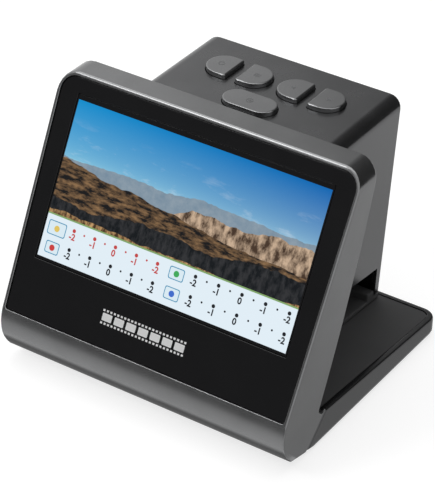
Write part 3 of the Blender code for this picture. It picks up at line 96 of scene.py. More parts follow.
def put(tree, socket, value):
    """Set a socket to a number, vector or colour, or link another socket to it."""
    if isinstance(value, bpy.types.NodeSocket):
        tree.links.new(value, socket)
    else:
        socket.default_value = (*value, 1.0) if socket.type == "RGBA" else value


def feed(tree, target, values):
    """Set or link several of a node's inputs."""
    for key, value in values.items():
        put(tree, target.inputs[key], value)


def node(tree, kind, inputs=None, **settings):
    """A shader node with its settings and inputs."""
    made = tree.nodes.new(kind)
    for key, value in settings.items():
        setattr(made, key, value)
    feed(tree, made, inputs or {})
    return made


def place(tree):
    """Position on the piece itself, in metres."""
    return node(tree, "ShaderNodeTexCoord").outputs["Object"]


def noise(tree, where, size, detail=2.0, roughness=0.5):
    """Noise whose blotches are about as large as the size."""
    inputs = {"Vector": where, "Scale": 1 / size, "Detail": detail, "Roughness": roughness}
    return node(tree, "ShaderNodeTexNoise", inputs).outputs["Fac"]


def stretched(tree, where, scale):
    """A position with its three axes scaled."""
    return node(tree, "ShaderNodeMapping", {"Vector": where, "Scale": scale}).outputs["Vector"]


def ramp(tree, value, span, to=(0.0, 1.0)):
    """A value carried from one range to another, held at the ends."""
    ends = dict(zip(("From Min", "From Max", "To Min", "To Max"), (*span, *to)))
    return node(tree, "ShaderNodeMapRange", {"Value": value, **ends}).outputs["Result"]


def calc(tree, operation, first, second):
    """One step of arithmetic."""
    inputs = {0: first, 1: second}
    return node(tree, "ShaderNodeMath", inputs, operation=operation).outputs["Value"]


def blend(tree, factor, first, second):
    """Two colours mixed by a factor."""
    made = node(tree, "ShaderNodeMix", {"Factor": factor}, data_type="RGBA")
    colours = [socket for socket in made.inputs if socket.type == "RGBA"]
    for socket, value in zip(colours, (first, second)):
        put(tree, socket, value)
    return [socket for socket in made.outputs if socket.type == "RGBA"][0]


def scaled(colour, factor):
    """A colour made lighter or darker."""
    return tuple(channel * factor for channel in colour)


def bump(tree, height, strength, distance, **others):
    """Direction of a surface whose relief follows a value; others are the node's further inputs."""
    inputs = {"Strength": strength, "Distance": distance, "Height": height, **others}
    return node(tree, "ShaderNodeBump", inputs).outputs["Normal"]


def softened(tree, radius, samples):
    """Direction of a surface that turns smoothly within a radius of its edges."""
    return node(tree, "ShaderNodeBevel", {"Radius": radius}, samples=samples).outputs["Normal"]


def edge_mask(tree, radius):
    """One near a piece's edges and zero on its flats."""
    true = node(tree, "ShaderNodeNewGeometry").outputs["Normal"]
    inputs = {0: softened(tree, radius, samples=4), 1: true}
    turned = node(tree, "ShaderNodeVectorMath", inputs, operation="DOT_PRODUCT")
    return ramp(tree, turned.outputs["Value"], EDGE_COSINES)


def moulding(
    name,
    colour,
    roughness,
    metallic=0.0,
    grain=0.00040,
    relief=0.0000025,
    mottling=0.05,
    wear_and_highlight=0.05,
    edge=0.00020,
    specular=0.5,
):
    """A moulded or painted surface: fine grain, faint mottling and slightly polished edges.

    grain is the grain's size and relief its height. mottling is a share of the colour,
    wear_and_highlight how far the edges go towards a lighter colour, partly rubbed and partly
    a painted highlight along them, and edge the radius that the shading softens edges to.
    """
    made, tree, shader = new_tree(name)
    where = place(tree)
    cloud = noise(tree, where, size=0.012, detail=3.0)
    fine = noise(tree, where, grain)
    edge_patches = noise(tree, where, size=0.0030, detail=4.0, roughness=0.6)
    dark, pale = scaled(colour, 1 - mottling), scaled(colour, 1 + mottling)
    base = blend(tree, ramp(tree, cloud, WIDE_SPAN), dark, pale)
    specks = calc(tree, "MULTIPLY", ramp(tree, fine, NARROW_SPAN), SPECK_SHARE)
    base = blend(tree, specks, base, scaled(colour, 1 - 2 * mottling))
    # Lighter edges: partly rubbed, partly a painted highlight along them
    uneven = ramp(tree, edge_patches, NARROW_SPAN, WEAR_AND_HIGHLIGHT_SHARE)
    worn_and_lit = calc(tree, "MULTIPLY", edge_mask(tree, 2 * edge), uneven)
    rough = ramp(tree, cloud, WIDE_SPAN, (roughness - ROUGHNESS_SWING, roughness + ROUGHNESS_SWING))
    share = calc(tree, "MULTIPLY", worn_and_lit, wear_and_highlight)
    polish = calc(tree, "MULTIPLY", worn_and_lit, WORN_POLISH)
    soft = softened(tree, edge, samples=6)
    looks = {
        "Base Color": blend(tree, share, base, scaled(colour, WEAR_AND_HIGHLIGHT_GAIN)),
        "Roughness": calc(tree, "SUBTRACT", rough, polish),
        "Metallic": metallic,
        "Specular IOR Level": specular,
        "Normal": bump(tree, fine, GRAIN_STRENGTH, relief, Normal=soft),
    }
    feed(tree, shader, looks)
    return made


def board_lacquer(name, colour):
    """Circuit board lacquer with faint copper tracks under it."""
    made, tree, shader = new_tree(name)
    where = place(tree)
    wave = {"Vector": where, "Scale": 400.0, "Distortion": 6.0, "Detail": 1.0}
    tracks = node(tree, "ShaderNodeTexWave", wave).outputs["Fac"]
    lines = ramp(tree, tracks, span=(0.75, 0.85), to=(0.0, 0.5))
    cloud = noise(tree, where, size=0.004)
    looks = {
        "Base Color": blend(tree, lines, colour, scaled(colour, 2.0)),
        "Roughness": ramp(tree, cloud, WIDE_SPAN, to=(0.25, 0.40)),
        "Normal": bump(tree, lines, strength=0.3, distance=0.00003),
    }
    feed(tree, shader, looks)
    return made


def plated(name, colour, roughness):
    """Nickel plating over drawn sheet, with fine streaks."""
    made, tree, shader = new_tree(name)
    streak = noise(tree, stretched(tree, place(tree), (1.0, 12.0, 12.0)), size=0.004, detail=3.0)
    looks = {
        "Base Color": blend(tree, streak, scaled(colour, 0.85), colour),
        "Roughness": ramp(tree, streak, WIDE_SPAN, to=(roughness - 0.06, roughness + 0.08)),
        "Metallic": 1.0,
        "Normal": bump(tree, streak, strength=0.2, distance=0.00001),
    }
    feed(tree, shader, looks)
    return made


def printed_ink(name, colour, roughness):
    """Screen-printed ink, slightly uneven."""
    made, tree, shader = new_tree(name)
    cloud = noise(tree, place(tree), size=0.0012, detail=4.0, roughness=0.6)
    looks = {
        "Base Color": blend(tree, cloud, scaled(colour, 0.94), colour),
        "Roughness": ramp(tree, cloud, WIDE_SPAN, to=(roughness - 0.05, roughness + 0.05)),
        "Normal": bump(tree, cloud, strength=0.2, distance=0.000005),
    }
    feed(tree, shader, looks)
    return made


def lit(name, glow):
    """Light through the display's glass; glow is a function of the tree that gives its colour."""
    made, tree, shader = new_tree(name)
    dust = noise(tree, place(tree), size=0.0020, detail=4.0, roughness=0.6)
    looks = {
        "Base Color": blend(tree, dust, GLASS_DARK, GLASS_PALE),
        "Roughness": ramp(tree, dust, WIDE_SPAN, GLASS_ROUGHNESS),
        "Specular IOR Level": GLASS_SPECULAR,
        "Emission Color": glow(tree),
        "Emission Strength": 1.0,
    }
    feed(tree, shader, looks)
    return made


def lit_colour(name, colour):
    """Part of the lit display in one colour, with faint picture elements."""

    def glow(tree):
        """The colour, with every picture element a little uneven."""
        fine = noise(tree, place(tree), PIXEL_SIZE, detail=1.0)
        return blend(tree, fine, scaled(colour, PIXEL_SHADE), colour)

    return lit(name, glow)


MATERIALS = {
    # The housing's and the keys' edges go much lighter: partly rubbed, partly a painted highlight
    "shell_grey": moulding(
        "housing_grey", (0.202, 0.204, 0.207), roughness=0.21, metallic=0.90, wear_and_highlight=0.8
    ),
    "key_grey": moulding(
        "cap_grey", (0.234, 0.236, 0.240), roughness=0.18, metallic=0.88, wear_and_highlight=0.4
    ),
    "gloss_black": moulding(
        "panel_black",
        (0.0100, 0.0100, 0.0110),
        roughness=0.16,
        relief=0.000004,
        mottling=0.03,
        wear_and_highlight=0.02,
        edge=0.00015,
        specular=0.22,
    ),
    "satin_black": moulding(
        "inlay_black", (0.0740, 0.0742, 0.0755), roughness=0.55, relief=0.000020, specular=0.14
    ),
    "inner_black": moulding("inner_black", (0.026, 0.026, 0.027), roughness=0.60, specular=0.30),
    "display_glass": moulding(
        "display_black",
        (0.0065, 0.0065, 0.0075),
        roughness=0.12,
        relief=0.000002,
        mottling=0.02,
        wear_and_highlight=0.0,
        edge=0.00010,
        specular=0.30,
    ),
    "board_green": board_lacquer("board_lacquer", (0.010, 0.100, 0.040)),
    "plated_steel": plated("nickel_plating", (0.55, 0.55, 0.56), roughness=0.28),
    "moulded_white": moulding("opal_white", (0.80, 0.80, 0.78), roughness=0.45),
    "foot_rubber": moulding(
        "foot_rubber", (0.015, 0.015, 0.015), roughness=0.75, grain=0.00030, specular=0.2
    ),
}
FINISH_OF = {name: MATERIALS[slot] for name, slot in SLOT_OF.items()}

# The same grey moulding in darker copies for the tower and the base: painted shade. The base's
# edges go lighter, partly rubbed and partly a painted highlight.
FINISH_OF["tower_shell"] = moulding(
    "tower_grey_painted_shade", (0.123, 0.124, 0.127), roughness=0.25, metallic=0.90
)
FINISH_OF["base_shell"] = moulding(
    "base_grey_painted_shade", (0.098, 0.099, 0.101), roughness=0.25, metallic=0.90, wear_and_highlight=0.5
)


# Pieces

WELD = 1e-6
FLAT_ANGLE = radians(0.4)
SHARP_ANGLE = radians(32)
BEVEL_SEGMENTS = 2

# CAD node to the softly shaded piece that takes its place
REFINED = {
    "front_shell": "display_housing",
    "back_panel": "housing_back",
    "base_shell": "base_housing",
    "base_plate": "base_inlay",
    "bottom_cover": "bottom_plate",
    "tower_shell": "tower_housing",
    "film_bed": "film_track",
    "power_key": "power_cap",
    "menu_key": "menu_cap",
    "left_key": "left_cap",
    "right_key": "right_cap",
    "capture_key": "capture_cap",
    "front_panel": "display_panel",
}
BEVEL_OF = {"front_panel": 0.00018}


def to_scene(name, data):
    """A new object in the scene."""
    made = bpy.data.objects.new(name, data)
    scene.collection.objects.link(made)
    return made


def add_piece(name, mesh, material, body):
    """Put a piece in the scene, with its finish, on the body that carries it."""
    piece = to_scene(name, mesh)
    mesh.materials.clear()
    mesh.materials.append(material)
    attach(piece, body)
    return piece


def flat_mesh(name, outlines):
    """A mesh of flat faces, each from an outline of points."""
    work = bmesh.new()
    for outline in outlines:
        work.faces.new([work.verts.new(point) for point in outline])
    mesh = bpy.data.meshes.new(name)
    work.to_mesh(mesh)
    work.free()
    return mesh


def refine(source, name, bevel):
    """A CAD node's form, welded, softly shaded and perhaps bevelled, in the node's place."""
    mesh = bpy.data.meshes.new(name)
    work = bmesh.new()
    work.from_mesh(frame["nodes"][source].data)
    bmesh.ops.remove_doubles(work, verts=work.verts, dist=WELD)
    bmesh.ops.dissolve_limit(work, angle_limit=FLAT_ANGLE, verts=work.verts, edges=work.edges)
    bmesh.ops.recalc_face_normals(work, faces=work.faces)
    work.to_mesh(mesh)
    work.free()
    piece = add_piece(name, mesh, FINISH_OF[source], BODY_OF[source])
    if bevel:
        step = piece.modifiers.new("soften", "BEVEL")
        step.width = bevel
        step.segments = BEVEL_SEGMENTS
        step.limit_method = "ANGLE"
        step.angle_limit = SHARP_ANGLE
    mesh.shade_smooth()
    mesh.set_sharp_from_angle(angle=SHARP_ANGLE)
    even = piece.modifiers.new("even", "WEIGHTED_NORMAL")
    even.keep_sharp = True
    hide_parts(source)


for node_name, cad_node in frame["nodes"].items():
    for index in range(len(cad_node.data.materials)):
        cad_node.data.materials[index] = FINISH_OF[node_name]

for source_name, piece_name in REFINED.items():
    refine(source_name, piece_name, BEVEL_OF.get(source_name, 0.0))


# The leaning front face: u is to the right, v is up the slope from the housing's top edge

FRONT_LEAN = radians(28.5)
UP = Vector((0, sin(FRONT_LEAN), cos(FRONT_LEAN)))
OUT = Vector((0, -cos(FRONT_LEAN), sin(FRONT_LEAN)))


def reach_out(name):
    """How far a CAD node reaches along OUT."""
    return max(vertex.co.dot(OUT) for vertex in frame["nodes"][name].data.vertices)


GLASS_OUT = reach_out("display_module")
FACE_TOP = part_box("front_shell")[1].z

# Where the glass's plane, carried on, comes to the height of the housing's top, along UP
FACE_UP = FACE_TOP * cos(FRONT_LEAN) + sin(FRONT_LEAN) * (
    FACE_TOP * sin(FRONT_LEAN) - GLASS_OUT
) / cos(FRONT_LEAN)


def face_matrix(rise):
    """Frame on the display's glass: X to the right, Y up the slope, Z outwards."""
    made = Matrix((Vector((1, 0, 0)), UP, OUT)).transposed().to_4x4()
    made.translation = UP * FACE_UP + OUT * (GLASS_OUT + rise)
    return made


def print_on(name, outlines, material, at, body="scanner"):
    """Flat shapes, each an outline of (u, v) points, in a frame on one of the object's faces."""
    mesh = flat_mesh(name, [[(u, v, 0) for u, v in outline] for outline in outlines])
    piece = add_piece(name, mesh, material, body)
    piece.matrix_world = at


def rounded_box(u, v, width, height, radius, steps=4):
    """A rounded rectangle about a centre."""
    points = []
    for turn, (a, b) in enumerate(((1, 1), (-1, 1), (-1, -1), (1, -1))):
        for step in range(steps + 1):
            angle = radians(90) * (turn + step / steps)
            points.append(
                (
                    u + a * (width / 2 - radius) + radius * cos(angle),
                    v + b * (height / 2 - radius) + radius * sin(angle),
                )
            )
    return points


def disc(u, v, radius, sides=16):
    """A round dot."""
    return [
        (u + radius * cos(radians(360) * i / sides), v + radius * sin(radians(360) * i / sides))
        for i in range(sides)
    ]


def ring(u, v, radius, width, start=0.0, end=360.0, steps=28):
    """A round band, or the part of it between two angles, as short quads."""
    quads = []
    for i in range(steps):
        turns = [radians(start + (end - start) * (i + k) / steps) for k in (0, 1)]
        inner, outer = (
            [(u + reach * cos(turn), v + reach * sin(turn)) for turn in turns]
            for reach in (radius - width, radius)
        )
        quads.append([inner[0], outer[0], outer[1], inner[1]])
    return quads


def bar(u, v, width, height):
    """A plain rectangle about a centre."""
    return [
        (u - width / 2, v - height / 2),
        (u + width / 2, v - height / 2),
        (u + width / 2, v + height / 2),
        (u - width / 2, v + height / 2),
    ]


# The lit display

PICTURE_HALF_WIDTH = 0.0555
PICTURE_TOP = -0.0101
PICTURE_FOOT = -0.0708
STRIP_TOP = -0.0540
STRIP_LINE = 0.0003

# What is lit or printed on the glass lies above it by so many steps
PRINT_RISE = 0.00004
LAYERS = {"picture": 1, "frame": 2, "field": 2.5, "ink": 3}

# Colours of the sky at its left and right ends
HIGH_SKY = ((0.000, 0.260, 0.600), (0.000, 0.130, 0.440))
LOW_SKY = ((0.240, 0.560, 0.730), (0.320, 0.560, 0.690))
SKY_FOOT = -0.032
SKY_CURVE = 0.42
CLOUD_WHITE = (0.80, 0.86, 0.90)
SOFT_SKYLINE = (-0.0001, 0.0001)

# Land from far to near: its skyline, its mottling, and its colours in shade and in the sun
LAND = (
    (
        {"level": -0.0345, "swing": 0.0070, "seed": 3.1, "size": 0.016, "slope": 0.010},
        {"size": 0.0040, "span": (0.30, 0.70), "stretch": (1.0, 1.0, 1.0)},
        (0.170, 0.250, 0.330),
        (0.270, 0.340, 0.400),
    ),
    (
        {"level": -0.0425, "swing": 0.0120, "seed": 7.7, "size": 0.022, "slope": 0.075},
        {"size": 0.0035, "span": (0.40, 0.60), "stretch": (1.0, 0.5, 1.0)},
        (0.060, 0.034, 0.020),
        (0.580, 0.420, 0.290),
    ),
    (
        {"level": -0.0440, "swing": 0.0100, "seed": 12.9, "size": 0.030, "slope": -0.100},
        {"size": 0.0028, "span": (0.42, 0.66), "stretch": (0.5, 1.6, 1.0)},
        (0.006, 0.006, 0.007),
        (0.260, 0.150, 0.070),
    ),
    (
        {"level": -0.0530, "swing": 0.0130, "seed": 21.3, "size": 0.026, "slope": 0.020},
        {"size": 0.0022, "span": (0.40, 0.62), "stretch": (1.0, 0.45, 1.0)},
        (0.003, 0.005, 0.007),
        (0.030, 0.031, 0.034),
    ),
    (
        {"level": -0.0590, "swing": 0.0110, "seed": 31.7, "size": 0.034, "slope": -0.015},
        {"size": 0.0014, "span": (0.40, 0.64), "stretch": (1.0, 0.35, 1.0)},
        (0.060, 0.030, 0.012),
        (0.550, 0.330, 0.140),
    ),
)

# Box beside each scale: centre, width, height, and the colour of the dot in it
BOXES = (
    (-0.0500, -0.0590, 0.008208, 0.005508, (0.75, 0.55, 0.12)),
    (-0.0500, -0.0664, 0.006264, 0.004644, (0.60, 0.05, 0.05)),
    (0.0044, -0.0584, 0.006588, 0.004752, (0.05, 0.40, 0.10)),
    (0.0046, -0.0659, 0.006588, 0.004752, (0.05, 0.15, 0.60)),
)

# A box's two blue lines together, and the radii of its own and its field's corners
BOX_LINES = 0.0007
BOX_CORNER = 0.0008
FIELD_CORNER = 0.0006
MARK_RADIUS = 0.0012
MARK_SIDES = 24

# Scale: name, place of its first large dot, pitch, height on the face, and ink
SCALES = (
    ("top_left", -0.0424, 0.00952, -0.0574, "red"),
    ("foot_left", -0.0424, 0.00955, -0.0648, "black"),
    ("top_right", 0.0123, 0.01010, -0.0567, "black"),
    ("foot_right", 0.0125, 0.01010, -0.0644, "black"),
)
SCALE_NUMBERS = ("-2", "-1", "0", "-1", "-2")
LARGE_DOT = 0.00075
SMALL_DOT = 0.00042
SMALL_DOT_SIDES = 10
SMALL_DOT_DROP = 0.0003
NUMBER_SIZE = 0.0034
NUMBER_WEIGHT = 0.00011
NUMBER_SHIFT = -0.0003
NUMBER_DROP = 0.0025


def landscape(tree):
    """Colour of the picture: blue sky, a far range, sunlit sand hills and slopes in shade."""
    where = place(tree)
    axes = node(tree, "ShaderNodeSeparateXYZ", {"Vector": where}).outputs
    u, v = axes["X"], axes["Y"]

    def below(level, swing, seed, size, slope):
        """One below an uneven skyline, zero above it."""
        track = node(tree, "ShaderNodeCombineXYZ", {"X": u, "Y": seed}).outputs["Vector"]
        uneven = noise(tree, track, size, detail=4.0, roughness=0.55)
        line = calc(tree, "ADD", calc(tree, "MULTIPLY", uneven, swing), level)
        line = calc(tree, "ADD", line, calc(tree, "MULTIPLY", u, slope))
        return ramp(tree, calc(tree, "SUBTRACT", line, v), SOFT_SKYLINE)

    def mottled(size, span, stretch):
        """Zero to one in patches."""
        patches = noise(tree, stretched(tree, where, stretch), size, detail=6.0, roughness=0.65)
        return ramp(tree, patches, span)

    height = ramp(tree, v, (SKY_FOOT, PICTURE_TOP))
    side = ramp(tree, u, (-PICTURE_HALF_WIDTH, PICTURE_HALF_WIDTH))
    high, low = blend(tree, side, *HIGH_SKY), blend(tree, side, *LOW_SKY)
    picture = blend(tree, calc(tree, "POWER", height, SKY_CURVE), low, high)
    wisps = mottled(size=0.020, span=(0.55, 0.80), stretch=(1.0, 3.5, 1.0))
    wisps = calc(tree, "MULTIPLY", wisps, ramp(tree, v, span=(-0.034, -0.016), to=(0.70, 0.0)))
    picture = blend(tree, wisps, picture, CLOUD_WHITE)
    for skyline, patches, shade, sun in LAND:
        land = blend(tree, mottled(**patches), shade, sun)
        picture = blend(tree, below(**skyline), picture, land)
    return picture


def number(name, text, u, v, material, at):
    """A small plain number of a scale."""
    curve = bpy.data.curves.new(name, "FONT")
    curve.body = text
    curve.size = NUMBER_SIZE
    curve.offset = NUMBER_WEIGHT
    curve.align_x = "CENTER"
    curve.align_y = "CENTER"
    holder = to_scene(name + "_outline", curve)
    evaluated = holder.evaluated_get(bpy.context.evaluated_depsgraph_get())
    mesh = bpy.data.meshes.new_from_object(evaluated)
    bpy.data.objects.remove(holder)
    bpy.data.curves.remove(curve)
    mesh.name = name
    mesh.transform(Matrix.Translation((u, v, 0)))
    piece = add_piece(name, mesh, material, "scanner")
    piece.matrix_world = at


def across(foot, top):
    """A rectangle over the picture's whole width."""
    half = PICTURE_HALF_WIDTH
    return [(-half, foot), (half, foot), (half, top), (-half, top)]


def lit_display():
    """Picture, settings strip, boxes, dots and scale numbers of the display."""
    at = {layer: face_matrix(steps * PRINT_RISE) for layer, steps in LAYERS.items()}
    picture = lit("display_picture", landscape)
    print_on("display_picture", [across(STRIP_TOP, PICTURE_TOP)], picture, at["picture"])
    strip = lit_colour("strip_blue_white", (0.76, 0.86, 0.93))
    print_on("settings_strip", [across(PICTURE_FOOT, STRIP_TOP)], strip, at["picture"])
    line = lit_colour("line_green", (0.22, 0.38, 0.14))
    band = across(STRIP_TOP - STRIP_LINE, STRIP_TOP + STRIP_LINE)
    print_on("settings_line", [band], line, at["frame"])
    inks = {
        "black": lit_colour("ink_black", (0.012, 0.014, 0.018)),
        "red": lit_colour("ink_red", (0.55, 0.06, 0.06)),
    }
    for label, (u, v, width, height, colour) in enumerate(BOXES, start=1):
        outline = rounded_box(u, v, width, height, BOX_CORNER)
        inner = rounded_box(u, v, width - BOX_LINES, height - BOX_LINES, FIELD_CORNER)
        blue = lit_colour(f"frame_blue_{label}", (0.07, 0.30, 0.48))
        pale = lit_colour(f"field_pale_{label}", (0.70, 0.83, 0.90))
        print_on(f"setting_frame_{label}", [outline], blue, at["frame"])
        print_on(f"setting_field_{label}", [inner], pale, at["field"])
        mark = disc(u, v, MARK_RADIUS, MARK_SIDES)
        print_on(f"setting_mark_{label}", [mark], lit_colour(f"mark_{label}", colour), at["ink"])
    for label, start, pitch, v, ink in SCALES:
        dots = [disc(start + i * pitch, v, LARGE_DOT) for i in range(len(SCALE_NUMBERS))]
        dots += [
            disc(start + (i + 0.5) * pitch, v - SMALL_DOT_DROP, SMALL_DOT, SMALL_DOT_SIDES)
            for i in range(len(SCALE_NUMBERS) - 1)
        ]
        print_on(f"scale_dots_{label}", dots, inks[ink], at["ink"])
        for i, text in enumerate(SCALE_NUMBERS):
            u = start + i * pitch + NUMBER_SHIFT
            number(f"scale_{label}_{i + 1}", text, u, v - NUMBER_DROP, inks[ink], at["ink"])


lit_display()


# Prints on the panel and the keys

SIGN_LEFT = -0.0215
SIGN_RIGHT = 0.0165
SIGN_MIDDLE = -0.0833
SIGN_FRAMES = 7
SIGN_HOLES = 24
FRAME_GAP = 0.0011
FRAME_HEIGHT = 0.0029
FRAME_CORNER = 0.0003
HOLE_ROWS = (-0.0024, 0.0024)
HOLE_WIDTH = 0.0009
HOLE_HEIGHT = 0.0008

KEY_LINE = 0.0003
ARROW = ((0.0009, -0.0010), (0.0009, 0.0010), (-0.0009, 0.0))
KEY_SIGNS = {
    "power_key": [
        *ring(0, 0, radius=0.0013, width=KEY_LINE, start=120, end=420),
        bar(0, 0.0010, width=KEY_LINE, height=0.0012),
    ],
    "menu_key": [bar(0, v, width=0.0026, height=KEY_LINE) for v in (-0.0008, 0.0, 0.0008)],
    "left_key": [ARROW],
    "right_key": [[(-u, v) for u, v in reversed(ARROW)]],
    "capture_key": [*ring(0, 0, radius=0.0014, width=KEY_LINE), disc(0, 0, radius=0.0006)],
}


def film_strip_sign():
    """A plain strip of film under the display: a row of frames between two rows of holes."""
    pitch = (SIGN_RIGHT - SIGN_LEFT) / SIGN_FRAMES
    shapes = [
        rounded_box(
            SIGN_LEFT + (i + 0.5) * pitch,
            SIGN_MIDDLE,
            pitch - FRAME_GAP,
            FRAME_HEIGHT,
            FRAME_CORNER,
            steps=2,
        )
        for i in range(SIGN_FRAMES)
    ]
    step = (SIGN_RIGHT - SIGN_LEFT) / SIGN_HOLES
    for row in HOLE_ROWS:
        shapes += [
            bar(SIGN_LEFT + (i + 0.5) * step, SIGN_MIDDLE + row, HOLE_WIDTH, HOLE_HEIGHT)
            for i in range(SIGN_HOLES)
        ]
    ink = printed_ink("print_white", (0.95, 0.95, 0.95), roughness=0.45)
    at = face_matrix(reach_out("front_panel") - GLASS_OUT + PRINT_RISE)
    print_on("film_strip_sign", shapes, ink, at)


def key_signs():
    """Faint plain signs on the keys: power, list, two arrows and a capture target."""
    ink = printed_ink("sign_grey", (0.115, 0.117, 0.122), roughness=0.40)
    for key, shapes in KEY_SIGNS.items():
        low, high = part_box(key)
        at = Matrix.Translation(((low.x + high.x) / 2, (low.y + high.y) / 2, high.z + PRINT_RISE))
        print_on(key + "_sign", shapes, ink, at, body=BODY_OF[key])


film_strip_sign()
key_signs()


# The photograph's camera

CAMERA_PLACE = (0.41271, -0.60394, 0.53998)
CAMERA_YAW = radians(34.496)
CAMERA_PITCH = radians(34.077)
CAMERA_ROLL = radians(-0.124)
CAMERA_SENSOR = 36.0
CAMERA_REACH = (0.01, 50)
FOCAL_PIXELS = 2347.4
PHOTO_HEIGHT = 495


def camera():
    """A camera that sees the object as the photograph does."""
    ahead = Vector(
        (
            -sin(CAMERA_YAW) * cos(CAMERA_PITCH),
            cos(CAMERA_YAW) * cos(CAMERA_PITCH),
            -sin(CAMERA_PITCH),
        )
    )
    right = Vector((cos(CAMERA_YAW), sin(CAMERA_YAW), 0))
    up = right.cross(ahead)
    rolled_right = right * cos(CAMERA_ROLL) + up * sin(CAMERA_ROLL)
    rolled_up = -right * sin(CAMERA_ROLL) + up * cos(CAMERA_ROLL)
    data = bpy.data.cameras.new("photo_camera")
    data.sensor_width = CAMERA_SENSOR
    data.lens = FOCAL_PIXELS * CAMERA_SENSOR / PHOTO_HEIGHT
    data.clip_start, data.clip_end = CAMERA_REACH
    made = to_scene("photo_camera", data)
    turn = Matrix((rolled_right, rolled_up, -ahead)).transposed().to_4x4()
    turn.translation = Vector(CAMERA_PLACE)
    made.matrix_world = turn
    scene.camera = made


camera()


# Studio

FLOOR_REACH = 20.0
FLOOR_GREYS = ((0.42, 0.42, 0.42), (0.44, 0.44, 0.44))

# Share of the floor's white that takes no shadow, and the sky's own light on the object
FLOOR_LIFT = 0.745
SKY_FILL = 0.30

# Softbox: name, place, aim, side and power
SOFTBOXES = (
    ("key_light", (-0.56, -0.64, 0.95), (0, 0, 0.06), 0.42, 2.9),
    ("top_light", (-0.28, 0.26, 1.45), (0, 0, 0), 2.0, 13.5),
)

CARD_BLACKS = ((0.008, 0.008, 0.008), (0.012, 0.012, 0.012))


def level_sheet(left, right, front, rear, height):
    """Corners of a level rectangle."""
    return [
        (left, front, height),
        (right, front, height),
        (right, rear, height),
        (left, rear, height),
    ]


def upright_sheet(start, end, foot, top):
    """Corners of an upright rectangle over the line from start to end."""
    return [(*start, foot), (*end, foot), (*end, top), (*start, top)]


# Card, a painted reflection that only smooth surfaces show: name, corners, axis, and pairs of a
# place along the axis and the grey there
CARDS = (
    # Painted reflection for the band over the display and the tower's top: white to the left, near
    # black to the right
    (
        "painted_reflection_rear",
        upright_sheet((-0.48, 0.32), (0.90, 0.32), 0.02, 0.85),
        "X",
        (
            (-0.34, 0.98),
            (-0.27, 0.90),
            (-0.23, 0.72),
            (-0.17, 0.58),
            (-0.13, 0.44),
            (-0.06, 0.20),
            (0.02, 0.06),
            (0.30, 0.03),
        ),
    ),
    # Painted reflection for the rolled nose: dark far in front, white close to the nose
    (
        "painted_reflection_front_floor",
        level_sheet(-1.90, 0.30, -1.60, -0.062, 0.0012),
        "Y",
        (
            (-0.60, 0.22),
            (-0.25, 0.20),
            (-0.15, 0.30),
            (-0.11, 0.52),
            (-0.085, 0.82),
            (-0.065, 1.0),
        ),
    ),
    # Painted shade for the right-hand walls: a floor greyer than the white one, darker towards the
    # front; the part behind the base is for the tower's wall
    (
        "painted_shade_side_floor",
        [
            (0.067, -0.10, 0.002),
            (0.90, -0.10, 0.002),
            (0.90, 0.90, 0.002),
            (0.0, 0.90, 0.002),
            (0.0, 0.060, 0.002),
            (0.067, 0.060, 0.002),
        ],
        "Y",
        (
            (-0.10, 0.50),
            (0.0, 0.52),
            (0.06, 0.64),
            (0.11, 0.66),
            (0.16, 0.76),
            (0.30, 0.82),
        ),
    ),
    # Painted shadow for the nose's underside: dark where the nose meets the floor
    (
        "painted_shadow_under_nose",
        level_sheet(-0.078, 0.066, -0.0585, -0.048, 0.0015),
        "Y",
        ((-0.0585, 0.95), (-0.0555, 0.25)),
    ),
    # Painted shadow for the foot of the base's wall: a grey strip along the base
    (
        "painted_shadow_by_base",
        level_sheet(0.058, 0.076, -0.045, 0.058, 0.0025),
        "X",
        ((0.058, 0.46), (0.076, 0.50)),
    ),
    # Painted highlight: a glowing card for the bright line on the lip under the panel
    (
        "painted_highlight_lip",
        [(-0.70, 0.28, 1.02), (-0.60, 0.45, 1.02), (-0.46, 0.37, 1.16), (-0.56, 0.20, 1.16)],
        "X",
        ((-0.70, 3.2), (-0.46, 3.2)),
    ),
    # Painted reflection for the panel and the display's glass: a dark card in front
    (
        "painted_reflection_front",
        upright_sheet((-1.90, -0.30), (-0.10, -1.60), 0.02, 0.75),
        "Z",
        ((0.02, 0.18), (0.35, 0.25), (0.75, 0.25)),
    ),
)


def seen(tree):
    """One where the camera sees, straight or by a mirror or glass; zero for other light."""
    path = node(tree, "ShaderNodeLightPath").outputs
    mirrored = calc(tree, "MAXIMUM", path["Is Glossy Ray"], path["Is Transmission Ray"])
    return calc(tree, "MAXIMUM", path["Is Camera Ray"], mirrored)


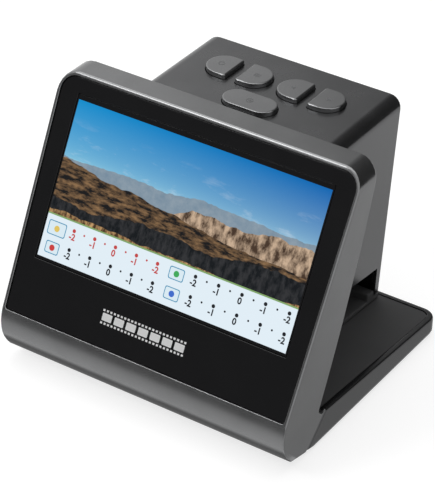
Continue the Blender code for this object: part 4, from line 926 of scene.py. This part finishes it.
def softbox(name, stand, aim, side, power):
    """A square soft lamp."""
    data = bpy.data.lights.new(name, "AREA")
    data.shape = "RECTANGLE"
    data.size = side
    data.size_y = side
    data.energy = power
    made = to_scene(name, data)
    made.location = stand
    made.rotation_euler = (Vector(aim) - Vector(stand)).to_track_quat("-Z", "Y").to_euler()
    made.visible_camera = False


def sheet(name, corners, material):
    """A flat sheet of the studio."""
    mesh = flat_mesh(name, [corners])
    mesh.materials.append(material)
    made = to_scene(name, mesh)
    return made


def floor():
    """Plain pale floor, a little uneven."""
    material, tree, shader = new_tree("pale_floor")
    looks = {
        "Base Color": blend(tree, noise(tree, place(tree), size=0.20), *FLOOR_GREYS),
        "Roughness": 0.9,
        "Specular IOR Level": 0.1,
        "Emission Color": WHITE,
        "Emission Strength": calc(tree, "MULTIPLY", seen(tree), FLOOR_LIFT),
    }
    feed(tree, shader, looks)
    corners = level_sheet(-FLOOR_REACH, FLOOR_REACH, -FLOOR_REACH, FLOOR_REACH, 0)
    sheet("floor", corners, material)


def sky():
    """White surroundings that light the object less than they show."""
    world = bpy.data.worlds.new("studio")
    scene.world = world
    world.use_nodes = True
    tree = world.node_tree
    strength = ramp(tree, seen(tree), (0.0, 1.0), (SKY_FILL, 1.0))
    feed(tree, tree.nodes["Background"], {"Color": WHITE, "Strength": strength})


# Painted reflections: glowing grey sheets that only reflections show, dark for painted shade and
# bright for painted highlights
def card(name, corners, axis, tones):
    """A card in greys that shows only in what smooth surfaces mirror."""
    material, tree, shader = new_tree(name)
    where = place(tree)
    along = node(tree, "ShaderNodeSeparateXYZ", {"Vector": where}).outputs[axis]
    tone = tones[0][1]
    for (low, before), (high, after) in zip(tones, tones[1:]):
        tone = calc(tree, "ADD", tone, ramp(tree, along, (low, high), (0.0, after - before)))
    looks = {
        "Base Color": blend(tree, noise(tree, where, size=0.3), *CARD_BLACKS),
        "Roughness": 1.0,
        "Specular IOR Level": 0.0,
        "Emission Color": WHITE,
        "Emission Strength": tone,
    }
    feed(tree, shader, looks)
    made = sheet(name, corners, material)
    made.visible_camera = False
    made.visible_diffuse = False
    made.visible_shadow = False
    made.visible_transmission = False


floor()
sky()
for softbox_values in SOFTBOXES:
    softbox(*softbox_values)
for card_values in CARDS:
    card(*card_values)
scene.view_settings.view_transform = "Standard"

bpy.context.view_layer.update()
